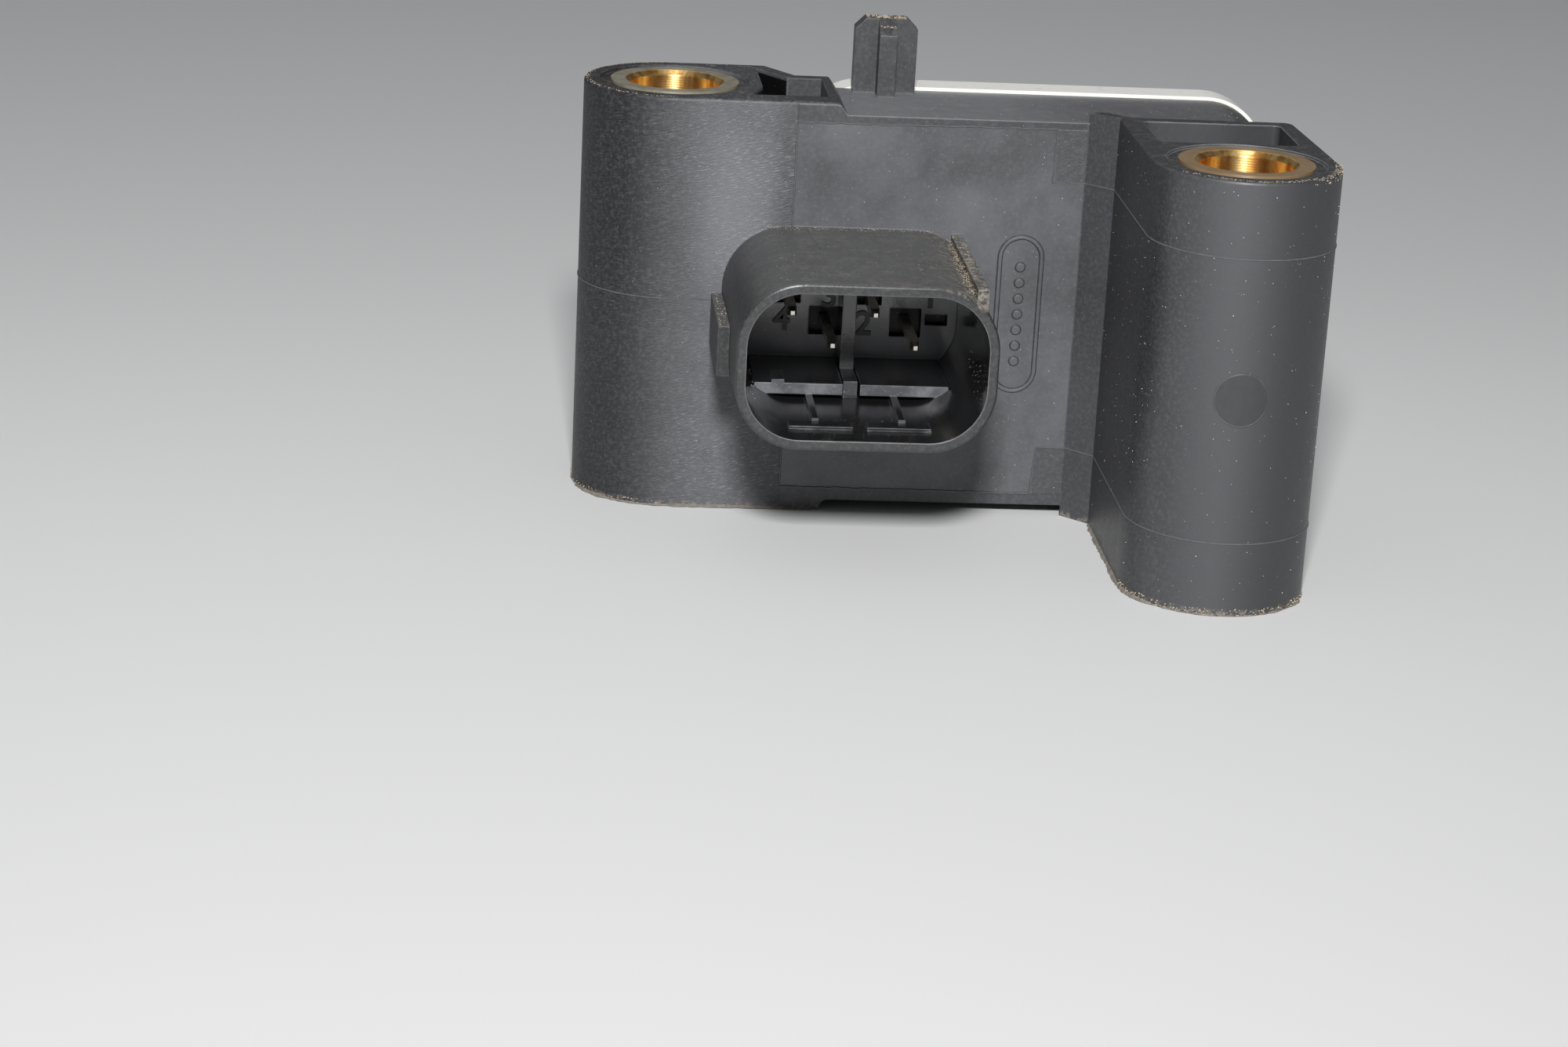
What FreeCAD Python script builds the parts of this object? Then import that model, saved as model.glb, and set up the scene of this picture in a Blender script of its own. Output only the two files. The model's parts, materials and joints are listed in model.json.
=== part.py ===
# Front crash sensor of a car: moulded housing with two bushed bosses, a plug socket,
# a welded back cover and the electronics that it holds.
# Millimetres. +Z up along the bushes, +X to the right along the front face, -Y out of
# the plug socket. The origin is the left bush's axis at the height of the boss feet.
import FreeCAD
import Part
import Sketcher
import math
import os

# Driving dimensions: name, value, what it is
SIZES = [
    ("boss_height", 30.0, "length of both bosses and bushes"),
    ("bush_pitch_x", 37.3, "left bush to right bush, sideways"),
    ("bush_pitch_y", 21.4, "left bush to right bush, forwards"),
    ("bush_outer", 9.2, "bush outside diameter"),
    ("bush_bore", 6.4, "bush bore diameter, clears a 6 mm bolt"),
    ("bush_bevel", 0.35, "bevel at each end of the bore"),
    ("bush_groove_width", 5.0, "turned groove that keys the bush in the plastic"),
    ("bush_groove_depth", 0.3, "depth of that groove"),
    ("bush_clearance", 0.02, "gap between bush and plastic"),
    ("bush_ring_width", 0.75, "sunken ring of plastic round a bush end"),
    ("bush_ring_depth", 0.2, "depth of that ring"),
    ("left_boss_radius", 6.5, "left boss, also puts the front face in place"),
    ("right_boss_radius", 6.4, "right boss, also half the arm's width"),
    ("land_end", 11.3, "right end of the left block's raised land"),
    ("land_step", 0.85, "raised lands above the body top"),
    ("foot_step", 0.75, "body bottom above the feet"),
    ("ramp_run", 0.6, "length of the ramp from land to body top"),
    ("boss_back_run", 6.9, "flat back of the left boss, to the right"),
    ("boss_back_slant", 2.05, "sideways run of the slanted back wall"),
    ("body_back", 3.2, "back rim of the housing behind the left bush axis"),
    ("body_corner", 4.4, "corner radius of body and cover, seen from behind"),
    ("edge_radius", 0.25, "rounded edges of the raised lands"),
    ("core_depth", 12.5, "core-outs, from each end of the bosses"),
    ("left_core_web", 1.58, "plastic between the left bush seat and its core-out"),
    ("left_core_lead", 1.0, "slant at the near side's front corner, sideways"),
    ("left_core_lead_length", 3.0, "slant at the near side's front corner, backwards"),
    ("core_web", 0.8, "least plastic between a core-out and a contact"),
    ("left_core_front_wall", 2.0, "wall before the left core-out"),
    ("left_core_right_wall", 0.6, "wall right of the left core-out, to the land's end"),
    ("left_core_back_wall", 1.2, "wall behind the left core-out"),
    ("left_core_slant_wall", 0.75, "sideways wall at the slanted back"),
    ("gusset", 1.85, "slanted facet between the front face and the arm"),
    ("gusset_land", 1.3, "land on top of the gusset"),
    ("arm_land_gap", 1.5, "front face to the back of the arm's land"),
    ("arm_taper", 0.45, "arm's right side drawn in towards the back"),
    ("arm_corner", 0.8, "arm's back right corner radius"),
    ("arm_wall", 1.45, "arm's left wall beside its core-out"),
    ("arm_right_wall", 1.2, "arm's right wall beside its core-out"),
    ("arm_back_wall", 1.3, "wall behind the arm's core-out"),
    ("arm_core_web", 0.78, "plastic between the right bush seat and its core-out"),
    ("arm_core_corner", 0.5, "corner radius of the arm's core-out"),
    ("shroud_x", 12.6, "plug shroud centre, sideways"),
    ("shroud_z", 15.1, "plug shroud centre, height"),
    ("shroud_width", 17.8, "shroud mouth, outside"),
    ("shroud_height", 11.6, "shroud mouth, outside"),
    ("shroud_corner", 4.5, "shroud corner radius, outside"),
    ("shroud_length", 15.8, "shroud in front of the front face"),
    ("shroud_wall", 0.7, "shroud wall at the mouth"),
    ("shroud_draft", 0.12, "taper of the shroud's outside and inside, each side"),
    ("shroud_rim_radius", 0.2, "rounded edges of the mouth"),
    ("socket_sink", 1.0, "socket floor behind the front face"),
    ("fin_thickness", 0.75, "guide fin on the shroud's upper right corner"),
    ("fin_inset", 1.0, "fin in from the shroud's right side"),
    ("fin_drop", 0.1, "fin below the shroud's top"),
    ("key_width", 0.85, "coding key on the shroud's left side"),
    ("key_height", 3.6, "coding key height"),
    ("key_drop", 0.9, "coding key's middle below the shroud's middle"),
    ("key_length", 9.0, "coding key in front of the front face"),
    ("plate_drop", 3.85, "top of the tongue plates below the shroud's middle"),
    ("plate_thickness", 0.8, "tongue plates"),
    ("plate_length", 7.1, "tongue plates in front of the socket floor"),
    ("plate_gap", 1.24, "gap between the tongue plates"),
    ("rib_thickness", 1.0, "upright rib in the middle of the socket floor"),
    ("rib_length", 3.0, "upright rib in front of the socket floor"),
    ("rail_thickness", 0.5, "rails on the socket's lower wall"),
    ("rail_height", 0.45, "rails above the lower wall"),
    ("rail_length", 5.8, "rails in front of the tongue plates"),
    ("rail_pitch", 6.0, "rail to rail"),
    ("bump_width", 4.4, "snap bumps on the socket's lower wall"),
    ("bump_length", 1.4, "snap bumps, along the socket"),
    ("bump_height", 0.25, "snap bumps above the lower wall"),
    ("bump_pitch", 5.4, "snap bump to snap bump"),
    ("bump_setback", 2.6, "snap bumps behind the mouth"),
    ("stop_width", 0.9, "stop on the left tongue plate"),
    ("stop_length", 2.5, "stop along the plate"),
    ("stop_height", 0.25, "stop above the plate"),
    ("stop_offset", 5.2, "stop left of the shroud's middle"),
    ("slot_width", 1.6, "slot in the socket floor"),
    ("slot_height", 0.8, "slot height"),
    ("slot_depth", 0.8, "slot depth"),
    ("slot_offset", 6.6, "slot right of the shroud's middle"),
    ("slot_drop", 0.9, "slot's middle below the shroud's middle"),
    ("pin_size", 0.63, "square contacts"),
    ("pin_pitch", 2.92, "contact to contact, sideways"),
    ("pin_row_gap", 2.3, "lower row to upper row"),
    ("pin_reach", 6.9, "contact tips in front of the socket floor"),
    ("pin_tip_length", 0.7, "tapered tip"),
    ("pin_tip_size", 0.3, "end of the tapered tip"),
    ("pin_clearance", 0.02, "gap between contact and plastic"),
    ("pin_tail", 1.0, "contacts behind the board"),
    ("pin_jog_gap", 0.6, "gap between a contact's sideways jog and its neighbour"),
    ("pin_pocket_width", 2.25, "sunken square round a contact"),
    ("pin_pocket_height", 2.1, "sunken square, height"),
    ("pin_pocket_depth", 1.0, "sunken square, depth"),
    ("tab_x", 15.25, "locating tab's middle, sideways"),
    ("tab_width", 4.5, "locating tab"),
    ("tab_height", 5.45, "locating tab above the body top"),
    ("tab_thickness", 1.4, "locating tab's wings"),
    ("tab_bevel", 0.75, "bevelled upper corners of the wings"),
    ("tab_rib_width", 1.25, "rib on the tab's front"),
    ("tab_rib_reach", 1.5, "rib in front of the wings"),
    ("tab_rib_drop", 1.0, "rib's front edge below the tab's top"),
    ("front_wall", 3.5, "front face to the electronics chamber"),
    ("side_wall", 1.8, "body top, bottom and right side to the chamber"),
    ("chamber_left_wall", 0.9, "left core-out to the chamber, at least"),
    ("chamber_corner", 2.6, "chamber corner radius"),
    ("ledge_width", 1.2, "ledge that the board sits on"),
    ("board_standoff", 2.0, "ledge above the chamber's front wall"),
    ("board_thickness", 1.6, "circuit board"),
    ("board_clearance", 0.15, "board edge to chamber wall"),
    ("board_hole", 1.1, "plated holes for the contacts"),
    ("cover_thickness", 3.3, "cover outside the housing"),
    ("cover_skin", 1.5, "cover's back wall"),
    ("cover_overhang", 0.25, "cover beyond the body's outline"),
    ("cover_gap", 0.4, "cover to the left boss"),
    ("cover_edge_radius", 0.6, "rounded back edge of the cover"),
    ("cover_rim", 1.2, "rim of the cover inside the chamber"),
    ("cover_rim_reach", 1.0, "rim inside the chamber, forwards"),
    ("cover_rim_clearance", 0.1, "rim to chamber wall"),
    ("solder_height", 0.6, "solder cone on the board"),
    ("solder_base", 1.7, "solder cone's diameter on the board"),
    ("solder_top", 1.0, "solder cone's upper diameter"),
]

# Places worked out from the driving dimensions; their cells hold these formulas
PLACES = [
    ("front_y", "-sizes.left_boss_radius"),
    ("boss_back_y", "sizes.left_boss_radius"),
    ("boss_left_x", "-sizes.left_boss_radius"),
    ("body_top", "sizes.boss_height - sizes.land_step"),
    ("body_right", "sizes.bush_pitch_x + sizes.right_boss_radius"),
    ("body_corner_x", "body_right - sizes.body_corner"),
    ("body_corner_low", "sizes.foot_step + sizes.body_corner"),
    ("body_corner_high", "body_top - sizes.body_corner"),
    ("ramp_foot", "sizes.land_end + sizes.ramp_run"),
    ("foot_end", "sizes.land_end + sizes.foot_step"),
    ("slant_foot", "sizes.boss_back_run + sizes.boss_back_slant"),
    ("right_bush_y", "-sizes.bush_pitch_y"),
    ("arm_left", "sizes.bush_pitch_x - sizes.right_boss_radius"),
    ("arm_front", "right_bush_y - sizes.right_boss_radius"),
    ("arm_back", "front_y - sizes.arm_land_gap"),
    ("arm_right_back", "body_right - sizes.arm_taper"),
    ("arm_corner_x", "arm_right_back - sizes.arm_corner"),
    ("arm_corner_y", "arm_back - sizes.arm_corner"),
    ("gusset_x", "arm_left - sizes.gusset"),
    ("gusset_y", "front_y - sizes.gusset"),
    ("gusset_land_x", "gusset_x + sizes.gusset_land"),
    ("gusset_land_back_x", "gusset_land_x + sizes.arm_land_gap"),
    ("pin_jog", "2 * sizes.pin_pitch - sizes.pin_size - sizes.pin_jog_gap"),
    ("pin_lower_z", "sizes.shroud_z - sizes.pin_row_gap / 2"),
    ("pin_upper_z", "sizes.shroud_z + sizes.pin_row_gap / 2"),
    ("leftmost_tail", "sizes.shroud_x - 3 * sizes.pin_pitch / 2 + pin_jog"),
    ("chamber_left", "leftmost_tail - sizes.ledge_width"),
    ("seat_radius", "sizes.bush_outer / 2 + sizes.bush_clearance"),
    ("left_core_start", "seat_radius + sizes.left_core_web"),
    ("left_core_front", "front_y + sizes.left_core_front_wall"),
    ("left_core_right", "min(sizes.land_end - sizes.left_core_right_wall;"
                        " chamber_left - sizes.chamber_left_wall)"),
    ("left_core_back", "sizes.body_back - sizes.left_core_back_wall"),
    ("left_core_slant_foot", "slant_foot - sizes.left_core_slant_wall"),
    ("left_core_slant_top", "left_core_back + (left_core_slant_foot - left_core_start)"
                            " * (boss_back_y - sizes.body_back) / sizes.boss_back_slant"),
    ("left_core_lead_x", "left_core_start - sizes.left_core_lead"),
    ("left_core_lead_y", "left_core_front + sizes.left_core_lead_length"),
    ("arm_core_left", "arm_left + sizes.arm_wall"),
    ("arm_core_right", "arm_right_back - sizes.arm_right_wall"),
    ("arm_core_front", "right_bush_y + seat_radius + sizes.arm_core_web"),
    ("arm_core_back", "arm_back - sizes.arm_back_wall"),
    ("upper_core_floor", "max(sizes.boss_height - sizes.core_depth;"
                         " pin_upper_z + sizes.pin_size / 2 + sizes.core_web)"),
    ("upper_core_depth", "sizes.boss_height - upper_core_floor"),
    ("lower_core_depth", "min(sizes.core_depth;"
                         " pin_lower_z - sizes.pin_size / 2 - sizes.core_web)"),
    ("mouth_y", "front_y - sizes.shroud_length"),
    ("floor_y", "front_y + sizes.socket_sink"),
    ("shroud_left", "sizes.shroud_x - sizes.shroud_width / 2"),
    ("shroud_right", "sizes.shroud_x + sizes.shroud_width / 2"),
    ("shroud_top", "sizes.shroud_z + sizes.shroud_height / 2"),
    ("shroud_bottom", "sizes.shroud_z - sizes.shroud_height / 2"),
    ("root_left", "shroud_left - sizes.shroud_draft"),
    ("root_right", "shroud_right + sizes.shroud_draft"),
    ("root_top", "shroud_top + sizes.shroud_draft"),
    ("root_bottom", "shroud_bottom - sizes.shroud_draft"),
    ("root_y", "front_y + sizes.socket_sink / 2"),
    ("inner_left", "shroud_left + sizes.shroud_wall"),
    ("inner_right", "shroud_right - sizes.shroud_wall"),
    ("inner_top", "shroud_top - sizes.shroud_wall"),
    ("inner_bottom", "shroud_bottom + sizes.shroud_wall"),
    ("inner_corner", "sizes.shroud_corner - sizes.shroud_wall"),
    ("floor_left", "inner_left + sizes.shroud_draft"),
    ("floor_right", "inner_right - sizes.shroud_draft"),
    ("floor_top", "inner_top - sizes.shroud_draft"),
    ("floor_bottom", "inner_bottom + sizes.shroud_draft"),
    ("wall_middle_bottom", "shroud_bottom + sizes.shroud_wall / 2"),
    ("wall_middle_top", "shroud_top - sizes.shroud_wall / 2"),
    ("wall_middle_radius", "sizes.shroud_corner - sizes.shroud_wall / 2"),
    ("floor_embed_y", "floor_y + sizes.socket_sink / 2"),
    ("fin_right", "shroud_right - sizes.fin_inset"),
    ("fin_left", "fin_right - sizes.fin_thickness"),
    ("fin_top", "shroud_top - sizes.fin_drop"),
    ("fin_bottom", "shroud_top - sizes.shroud_corner"),
    ("fin_front", "mouth_y + sizes.shroud_rim_radius"),
    ("key_left", "shroud_left - sizes.key_width"),
    ("key_right", "shroud_left + sizes.shroud_wall / 2"),
    ("key_bottom", "sizes.shroud_z - sizes.key_drop - sizes.key_height / 2"),
    ("key_top", "key_bottom + sizes.key_height"),
    ("key_front", "front_y - sizes.key_length"),
    ("plate_top", "sizes.shroud_z - sizes.plate_drop"),
    ("plate_bottom", "plate_top - sizes.plate_thickness"),
    ("plate_front", "floor_y - sizes.plate_length"),
    ("plate_rise", "wall_middle_radius - (plate_bottom - wall_middle_bottom)"),
    ("plate_reach", "sizes.shroud_width / 2 - sizes.shroud_wall / 2 - wall_middle_radius"
                    " + sqrt(wall_middle_radius ^ 2 - plate_rise ^ 2)"),
    ("plate_left_end", "sizes.shroud_x - plate_reach"),
    ("plate_left_inner", "sizes.shroud_x - sizes.plate_gap / 2"),
    ("plate_right_inner", "sizes.shroud_x + sizes.plate_gap / 2"),
    ("plate_right_end", "sizes.shroud_x + plate_reach"),
    ("rib_left", "sizes.shroud_x - sizes.rib_thickness / 2"),
    ("rib_right", "sizes.shroud_x + sizes.rib_thickness / 2"),
    ("rib_front", "floor_y - sizes.rib_length"),
    ("keel_front", "plate_front + sizes.plate_thickness"),
    ("rail_front", "plate_front - sizes.rail_length"),
    ("rail_back", "plate_front + sizes.plate_thickness"),
    ("rail_top", "inner_bottom + sizes.rail_height"),
    ("bump_front", "mouth_y + sizes.bump_setback"),
    ("bump_back", "bump_front + sizes.bump_length"),
    ("bump_top", "inner_bottom + sizes.bump_height"),
    ("stop_left", "sizes.shroud_x - sizes.stop_offset - sizes.stop_width / 2"),
    ("stop_right", "stop_left + sizes.stop_width"),
    ("stop_back", "plate_front + sizes.stop_length"),
    ("stop_top", "plate_top + sizes.stop_height"),
    ("stop_foot", "plate_top - sizes.plate_thickness / 2"),
    ("slot_left", "sizes.shroud_x + sizes.slot_offset - sizes.slot_width / 2"),
    ("slot_right", "slot_left + sizes.slot_width"),
    ("slot_bottom", "sizes.shroud_z - sizes.slot_drop - sizes.slot_height / 2"),
    ("slot_top", "slot_bottom + sizes.slot_height"),
    ("slot_back", "floor_y + sizes.slot_depth"),
    ("tab_left", "sizes.tab_x - sizes.tab_width / 2"),
    ("tab_right", "sizes.tab_x + sizes.tab_width / 2"),
    ("tab_root", "body_top - sizes.land_step / 2"),
    ("tab_top", "body_top + sizes.tab_height"),
    ("tab_shoulder", "tab_top - sizes.tab_bevel"),
    ("tab_bevel_left", "tab_left + sizes.tab_bevel"),
    ("tab_bevel_right", "tab_right - sizes.tab_bevel"),
    ("tab_face", "sizes.body_back - sizes.tab_thickness"),
    ("tab_rib_front", "tab_face - sizes.tab_rib_reach"),
    ("tab_rib_back", "tab_face + sizes.tab_thickness / 2"),
    ("tab_rib_top", "tab_top - sizes.tab_rib_drop"),
    ("tab_rib_left", "sizes.tab_x - sizes.tab_rib_width / 2"),
    ("chamber_front", "front_y + sizes.front_wall"),
    ("chamber_right", "body_right - sizes.side_wall"),
    ("chamber_bottom", "sizes.foot_step + sizes.side_wall"),
    ("chamber_top", "body_top - sizes.side_wall"),
    ("pit_left", "chamber_left + sizes.ledge_width"),
    ("pit_right", "chamber_right - sizes.ledge_width"),
    ("pit_bottom", "chamber_bottom + sizes.ledge_width"),
    ("pit_top", "chamber_top - sizes.ledge_width"),
    ("pit_corner", "sizes.chamber_corner - sizes.ledge_width"),
    ("board_front", "chamber_front + sizes.board_standoff"),
    ("board_back", "board_front + sizes.board_thickness"),
    ("board_left", "chamber_left + sizes.board_clearance"),
    ("board_right", "chamber_right - sizes.board_clearance"),
    ("board_bottom", "chamber_bottom + sizes.board_clearance"),
    ("board_top", "chamber_top - sizes.board_clearance"),
    ("board_corner", "sizes.chamber_corner - sizes.board_clearance"),
    ("cover_left", "slant_foot + sizes.cover_gap"),
    ("cover_right", "body_right + sizes.cover_overhang"),
    ("cover_bottom", "sizes.foot_step - sizes.cover_overhang"),
    ("cover_top", "body_top + sizes.cover_overhang"),
    ("cover_corner", "sizes.body_corner + sizes.cover_overhang"),
    ("rim_left", "chamber_left + sizes.cover_rim_clearance"),
    ("rim_right", "chamber_right - sizes.cover_rim_clearance"),
    ("rim_bottom", "chamber_bottom + sizes.cover_rim_clearance"),
    ("rim_top", "chamber_top - sizes.cover_rim_clearance"),
    ("rim_corner", "sizes.chamber_corner - sizes.cover_rim_clearance"),
    ("rim_front", "sizes.body_back - sizes.cover_rim_reach"),
    ("hollow_left", "rim_left + sizes.cover_rim"),
    ("hollow_right", "rim_right - sizes.cover_rim"),
    ("hollow_bottom", "rim_bottom + sizes.cover_rim"),
    ("hollow_top", "rim_top - sizes.cover_rim"),
    ("hollow_corner", "rim_corner - sizes.cover_rim"),
    ("pin_tip_y", "floor_y - sizes.pin_reach"),
    ("pin_low", "-sizes.pin_size / 2"),
    ("pin_high", "sizes.pin_size / 2"),
    ("pin_pocket_back", "floor_y + sizes.pin_pocket_depth"),
    ("jog_front", "(pin_pocket_back + chamber_front - sizes.pin_size) / 2"),
    ("jog_hole_front", "jog_front - sizes.pin_clearance"),
    ("jog_hole_back", "jog_front + sizes.pin_size + sizes.pin_clearance"),
    ("pin_jog_low", "pin_jog - sizes.pin_size / 2"),
    ("pin_jog_high", "pin_jog + sizes.pin_size / 2"),
    ("pin_jog_front", "jog_front - pin_tip_y"),
    ("pin_jog_back", "pin_jog_front + sizes.pin_size"),
    ("pin_end", "board_back + sizes.pin_tail - pin_tip_y"),
    ("lead_top", "sizes.lead_height + sizes.lead_thickness"),
    ("chip_top", "sizes.chip_lift + sizes.chip_height"),
    ("chips_x", "board_right - sizes.chip_setback"),
    ("chips_z", "(board_bottom + board_top) / 2"),
    ("bush_radius", "sizes.bush_outer / 2"),
    ("bore_radius", "sizes.bush_bore / 2"),
    ("bush_bevel_radius", "bore_radius + sizes.bush_bevel"),
    ("bush_bevel_top", "sizes.boss_height - sizes.bush_bevel"),
    ("groove_radius", "bush_radius - sizes.bush_groove_depth"),
    ("groove_low", "sizes.boss_height / 2 - sizes.bush_groove_width / 2"),
    ("groove_high", "sizes.boss_height / 2 + sizes.bush_groove_width / 2"),
    ("seat_key_low", "groove_low + sizes.bush_clearance"),
    ("seat_key_high", "groove_high - sizes.bush_clearance"),
    ("ring_floor", "sizes.boss_height - sizes.bush_ring_depth"),
    ("cover_back", "sizes.body_back + sizes.cover_thickness"),
    ("left_rail_low", "sizes.shroud_x - sizes.rail_pitch / 2 - sizes.rail_thickness / 2"),
    ("left_rail_high", "left_rail_low + sizes.rail_thickness"),
    ("right_rail_low", "sizes.shroud_x + sizes.rail_pitch / 2 - sizes.rail_thickness / 2"),
    ("right_rail_high", "right_rail_low + sizes.rail_thickness"),
    ("left_bump_low", "sizes.shroud_x - sizes.bump_pitch / 2 - sizes.bump_width / 2"),
    ("left_bump_high", "left_bump_low + sizes.bump_width"),
    ("right_bump_low", "sizes.shroud_x + sizes.bump_pitch / 2 - sizes.bump_width / 2"),
    ("right_bump_high", "right_bump_low + sizes.bump_width"),
]

# Rectangles with round corners: left, right, low, high, corner radius
RECTANGLES = {
    "shroud_root": ("root_left", "root_right", "root_bottom", "root_top", "shroud_corner"),
    "shroud_mouth": ("shroud_left", "shroud_right", "shroud_bottom", "shroud_top",
                     "shroud_corner"),
    "socket_mouth": ("inner_left", "inner_right", "inner_bottom", "inner_top", "inner_corner"),
    "socket_floor": ("floor_left", "floor_right", "floor_bottom", "floor_top", "inner_corner"),
    "arm_core": ("arm_core_left", "arm_core_right", "arm_core_front", "arm_core_back",
                 "arm_core_corner"),
    "chamber": ("chamber_left", "chamber_right", "chamber_bottom", "chamber_top",
                "chamber_corner"),
    "pit": ("pit_left", "pit_right", "pit_bottom", "pit_top", "pit_corner"),
    "board": ("board_left", "board_right", "board_bottom", "board_top", "board_corner"),
    "cover": ("cover_left", "cover_right", "cover_bottom", "cover_top", "cover_corner"),
    "rim": ("rim_left", "rim_right", "rim_bottom", "rim_top", "rim_corner"),
    "hollow": ("hollow_left", "hollow_right", "hollow_bottom", "hollow_top", "hollow_corner"),
}

# Contacts: name, place in the row counted from the middle in half pitches, row
CONTACTS = [
    ("contact_pin_1", 3, "pin_lower_z"),
    ("contact_pin_2", 1, "pin_upper_z"),
    ("contact_pin_3", -1, "pin_lower_z"),
    ("contact_pin_4", -3, "pin_upper_z"),
]

# Chip capacitors, resistors and the diode: name, then the sizes named below;
# right and above are distances from the contacts' middle
CHIP_FIELDS = ("length", "width", "height", "cap", "right", "above")
CHIP_PARTS = [
    ("buffer_capacitor", 3.2, 2.5, 1.6, 0.6, 4.2, -5.8),
    ("filter_capacitor_1", 2.0, 1.25, 0.9, 0.4, 4.4, 3.2),
    ("filter_capacitor_2", 2.0, 1.25, 0.9, 0.4, 4.4, -3.2),
    ("filter_capacitor_3", 2.0, 1.25, 0.9, 0.4, 8.0, -5.8),
    ("chip_resistor_1", 1.6, 0.8, 0.45, 0.3, 8.0, 3.2),
    ("chip_resistor_2", 1.6, 0.8, 0.45, 0.3, 8.0, 5.2),
    ("chip_resistor_3", 1.6, 0.8, 0.45, 0.3, 8.0, -3.6),
    ("chip_resistor_4", 1.6, 0.8, 0.45, 0.3, 11.0, -5.8),
    ("protection_diode", 2.6, 1.5, 1.1, 0.45, 4.4, 5.4),
]

# Leaded chips: name, then the sizes named below; leads are counted on each side and
# above is the distance from the board's middle
LEADED_FIELDS = ("length", "width", "leads", "above")
LEADED_CHIPS = [
    ("acceleration_sensor", 7.6, 5.4, 6, 3.6),
    ("interface_chip", 4.9, 3.9, 4, -4.55),
]
LEAD_SIZES = [
    ("chip_setback", 7.0, "leaded chips' middle from the board's right edge"),
    ("chip_height", 1.7, "leaded chip's body"),
    ("chip_lift", 0.15, "leaded chip's body above the board"),
    ("lead_pitch", 1.27, "lead to lead"),
    ("lead_width", 0.42, "lead"),
    ("lead_thickness", 0.25, "lead"),
    ("lead_foot", 0.8, "lead's foot on the board"),
    ("lead_span", 1.4, "lead outside the body"),
    ("lead_height", 0.9, "lead's exit above the board"),
    ("cap_lip", 0.03, "end caps of small parts stand out by this"),
]

doc = FreeCAD.newDocument("crash_sensor")


def make_sheet(name, rows):
    """A sheet with one named cell for each row: name, content, note."""
    sheet = doc.addObject("Spreadsheet::Sheet", name)
    for number, (alias, content, note) in enumerate(rows, start=1):
        sheet.set(f"A{number}", alias)
        sheet.set(f"B{number}", content)
        sheet.set(f"C{number}", note)
        sheet.setAlias(f"B{number}", alias)
    doc.recompute()
    return sheet


def all_sizes():
    """Every driving dimension, those of the small parts included."""
    rows = SIZES + LEAD_SIZES
    for fields, table in ((CHIP_FIELDS, CHIP_PARTS), (LEADED_FIELDS, LEADED_CHIPS)):
        for name, *numbers in table:
            rows = rows + [(f"{name}_{f}", n, f"{name} {f}") for f, n in zip(fields, numbers)]
    return rows


def all_places(size_names):
    """Every worked-out place, those of round corners and contacts included."""
    rows = list(PLACES)

    def cell(name):
        return f"sizes.{name}" if name in size_names else name

    for name, (left, right, low, high, corner) in RECTANGLES.items():
        for place, sign in ((left, "+"), (right, "-"), (low, "+"), (high, "-")):
            rows.append((f"{name}_at_{place}", f"{cell(place)} {sign} {cell(corner)}"))
    hole = "(sizes.pin_size / 2 + sizes.pin_clearance)"
    for name, steps, row in CONTACTS:
        rows.append((f"{name}_x", f"sizes.shroud_x + {steps} * sizes.pin_pitch / 2"))
        rows.append((f"{name}_tail_x", f"{name}_x + pin_jog"))
        for end, sign in (("low", "-"), ("high", "+")):
            rows.append((f"{name}_pocket_x_{end}", f"{name}_x {sign} sizes.pin_pocket_width / 2"))
            rows.append((f"{name}_pocket_z_{end}", f"{row} {sign} sizes.pin_pocket_height / 2"))
            rows.append((f"{name}_hole_x_{end}", f"{name}_x {sign} {hole}"))
            rows.append((f"{name}_tail_x_{end}", f"{name}_tail_x {sign} {hole}"))
            rows.append((f"{name}_hole_z_{end}", f"{row} {sign} {hole}"))
    for name, *numbers in LEADED_CHIPS:
        half = f"sizes.{name}_width / 2"
        rows.append((f"{name}_first_lead", f"-((sizes.{name}_leads - 1) * sizes.lead_pitch"
                                           " + sizes.lead_width) / 2"))
        rows.append((f"{name}_left", f"-sizes.{name}_length / 2"))
        rows.append((f"{name}_right", f"sizes.{name}_length / 2"))
        for side, sign in (("front", "-"), ("back", "")):
            knee = f"{half} + sizes.lead_span - sizes.lead_foot"
            rows.append((f"{name}_{side}", f"{sign}({half})"))
            rows.append((f"{name}_{side}_root", f"{sign}({half} - sizes.lead_thickness)"))
            rows.append((f"{name}_{side}_knee", f"{sign}({knee})"))
            rows.append((f"{name}_{side}_bend", f"{sign}({knee} + sizes.lead_thickness)"))
            rows.append((f"{name}_{side}_toe", f"{sign}({half} + sizes.lead_span)"))
    return rows


SIZE_NAMES = {row[0] for row in all_sizes()}
sizes = make_sheet("sizes", [(a, str(v), note) for a, v, note in all_sizes()])
places = make_sheet("places", [(a, "=" + f, "") for a, f in all_places(SIZE_NAMES)])


def ref(name):
    """The expression that reads a named cell."""
    return f"sizes.{name}" if name in SIZE_NAMES else f"places.{name}"


def value(name):
    """The number in a named cell; zero stands for an axis."""
    if name == "zero":
        return 0.0
    return float(sizes.get(name) if name in SIZE_NAMES else places.get(name))


def span(low, high):
    """The expression for the distance between two named places."""
    return f"{ref(high)} - {ref(low)}" if low != "zero" else ref(high)


def new_body(name):
    body = doc.addObject("PartDesign::Body", name)
    body.Label = name
    return body


def attach(feature, body, role):
    """Lays a sketch or primitive on one of its own body's origin planes."""
    plane = next(f for f in body.Origin.OriginFeatures if f.Role == role)
    feature.AttachmentSupport = [(plane, "")]
    feature.MapMode = "FlatFace"


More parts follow.
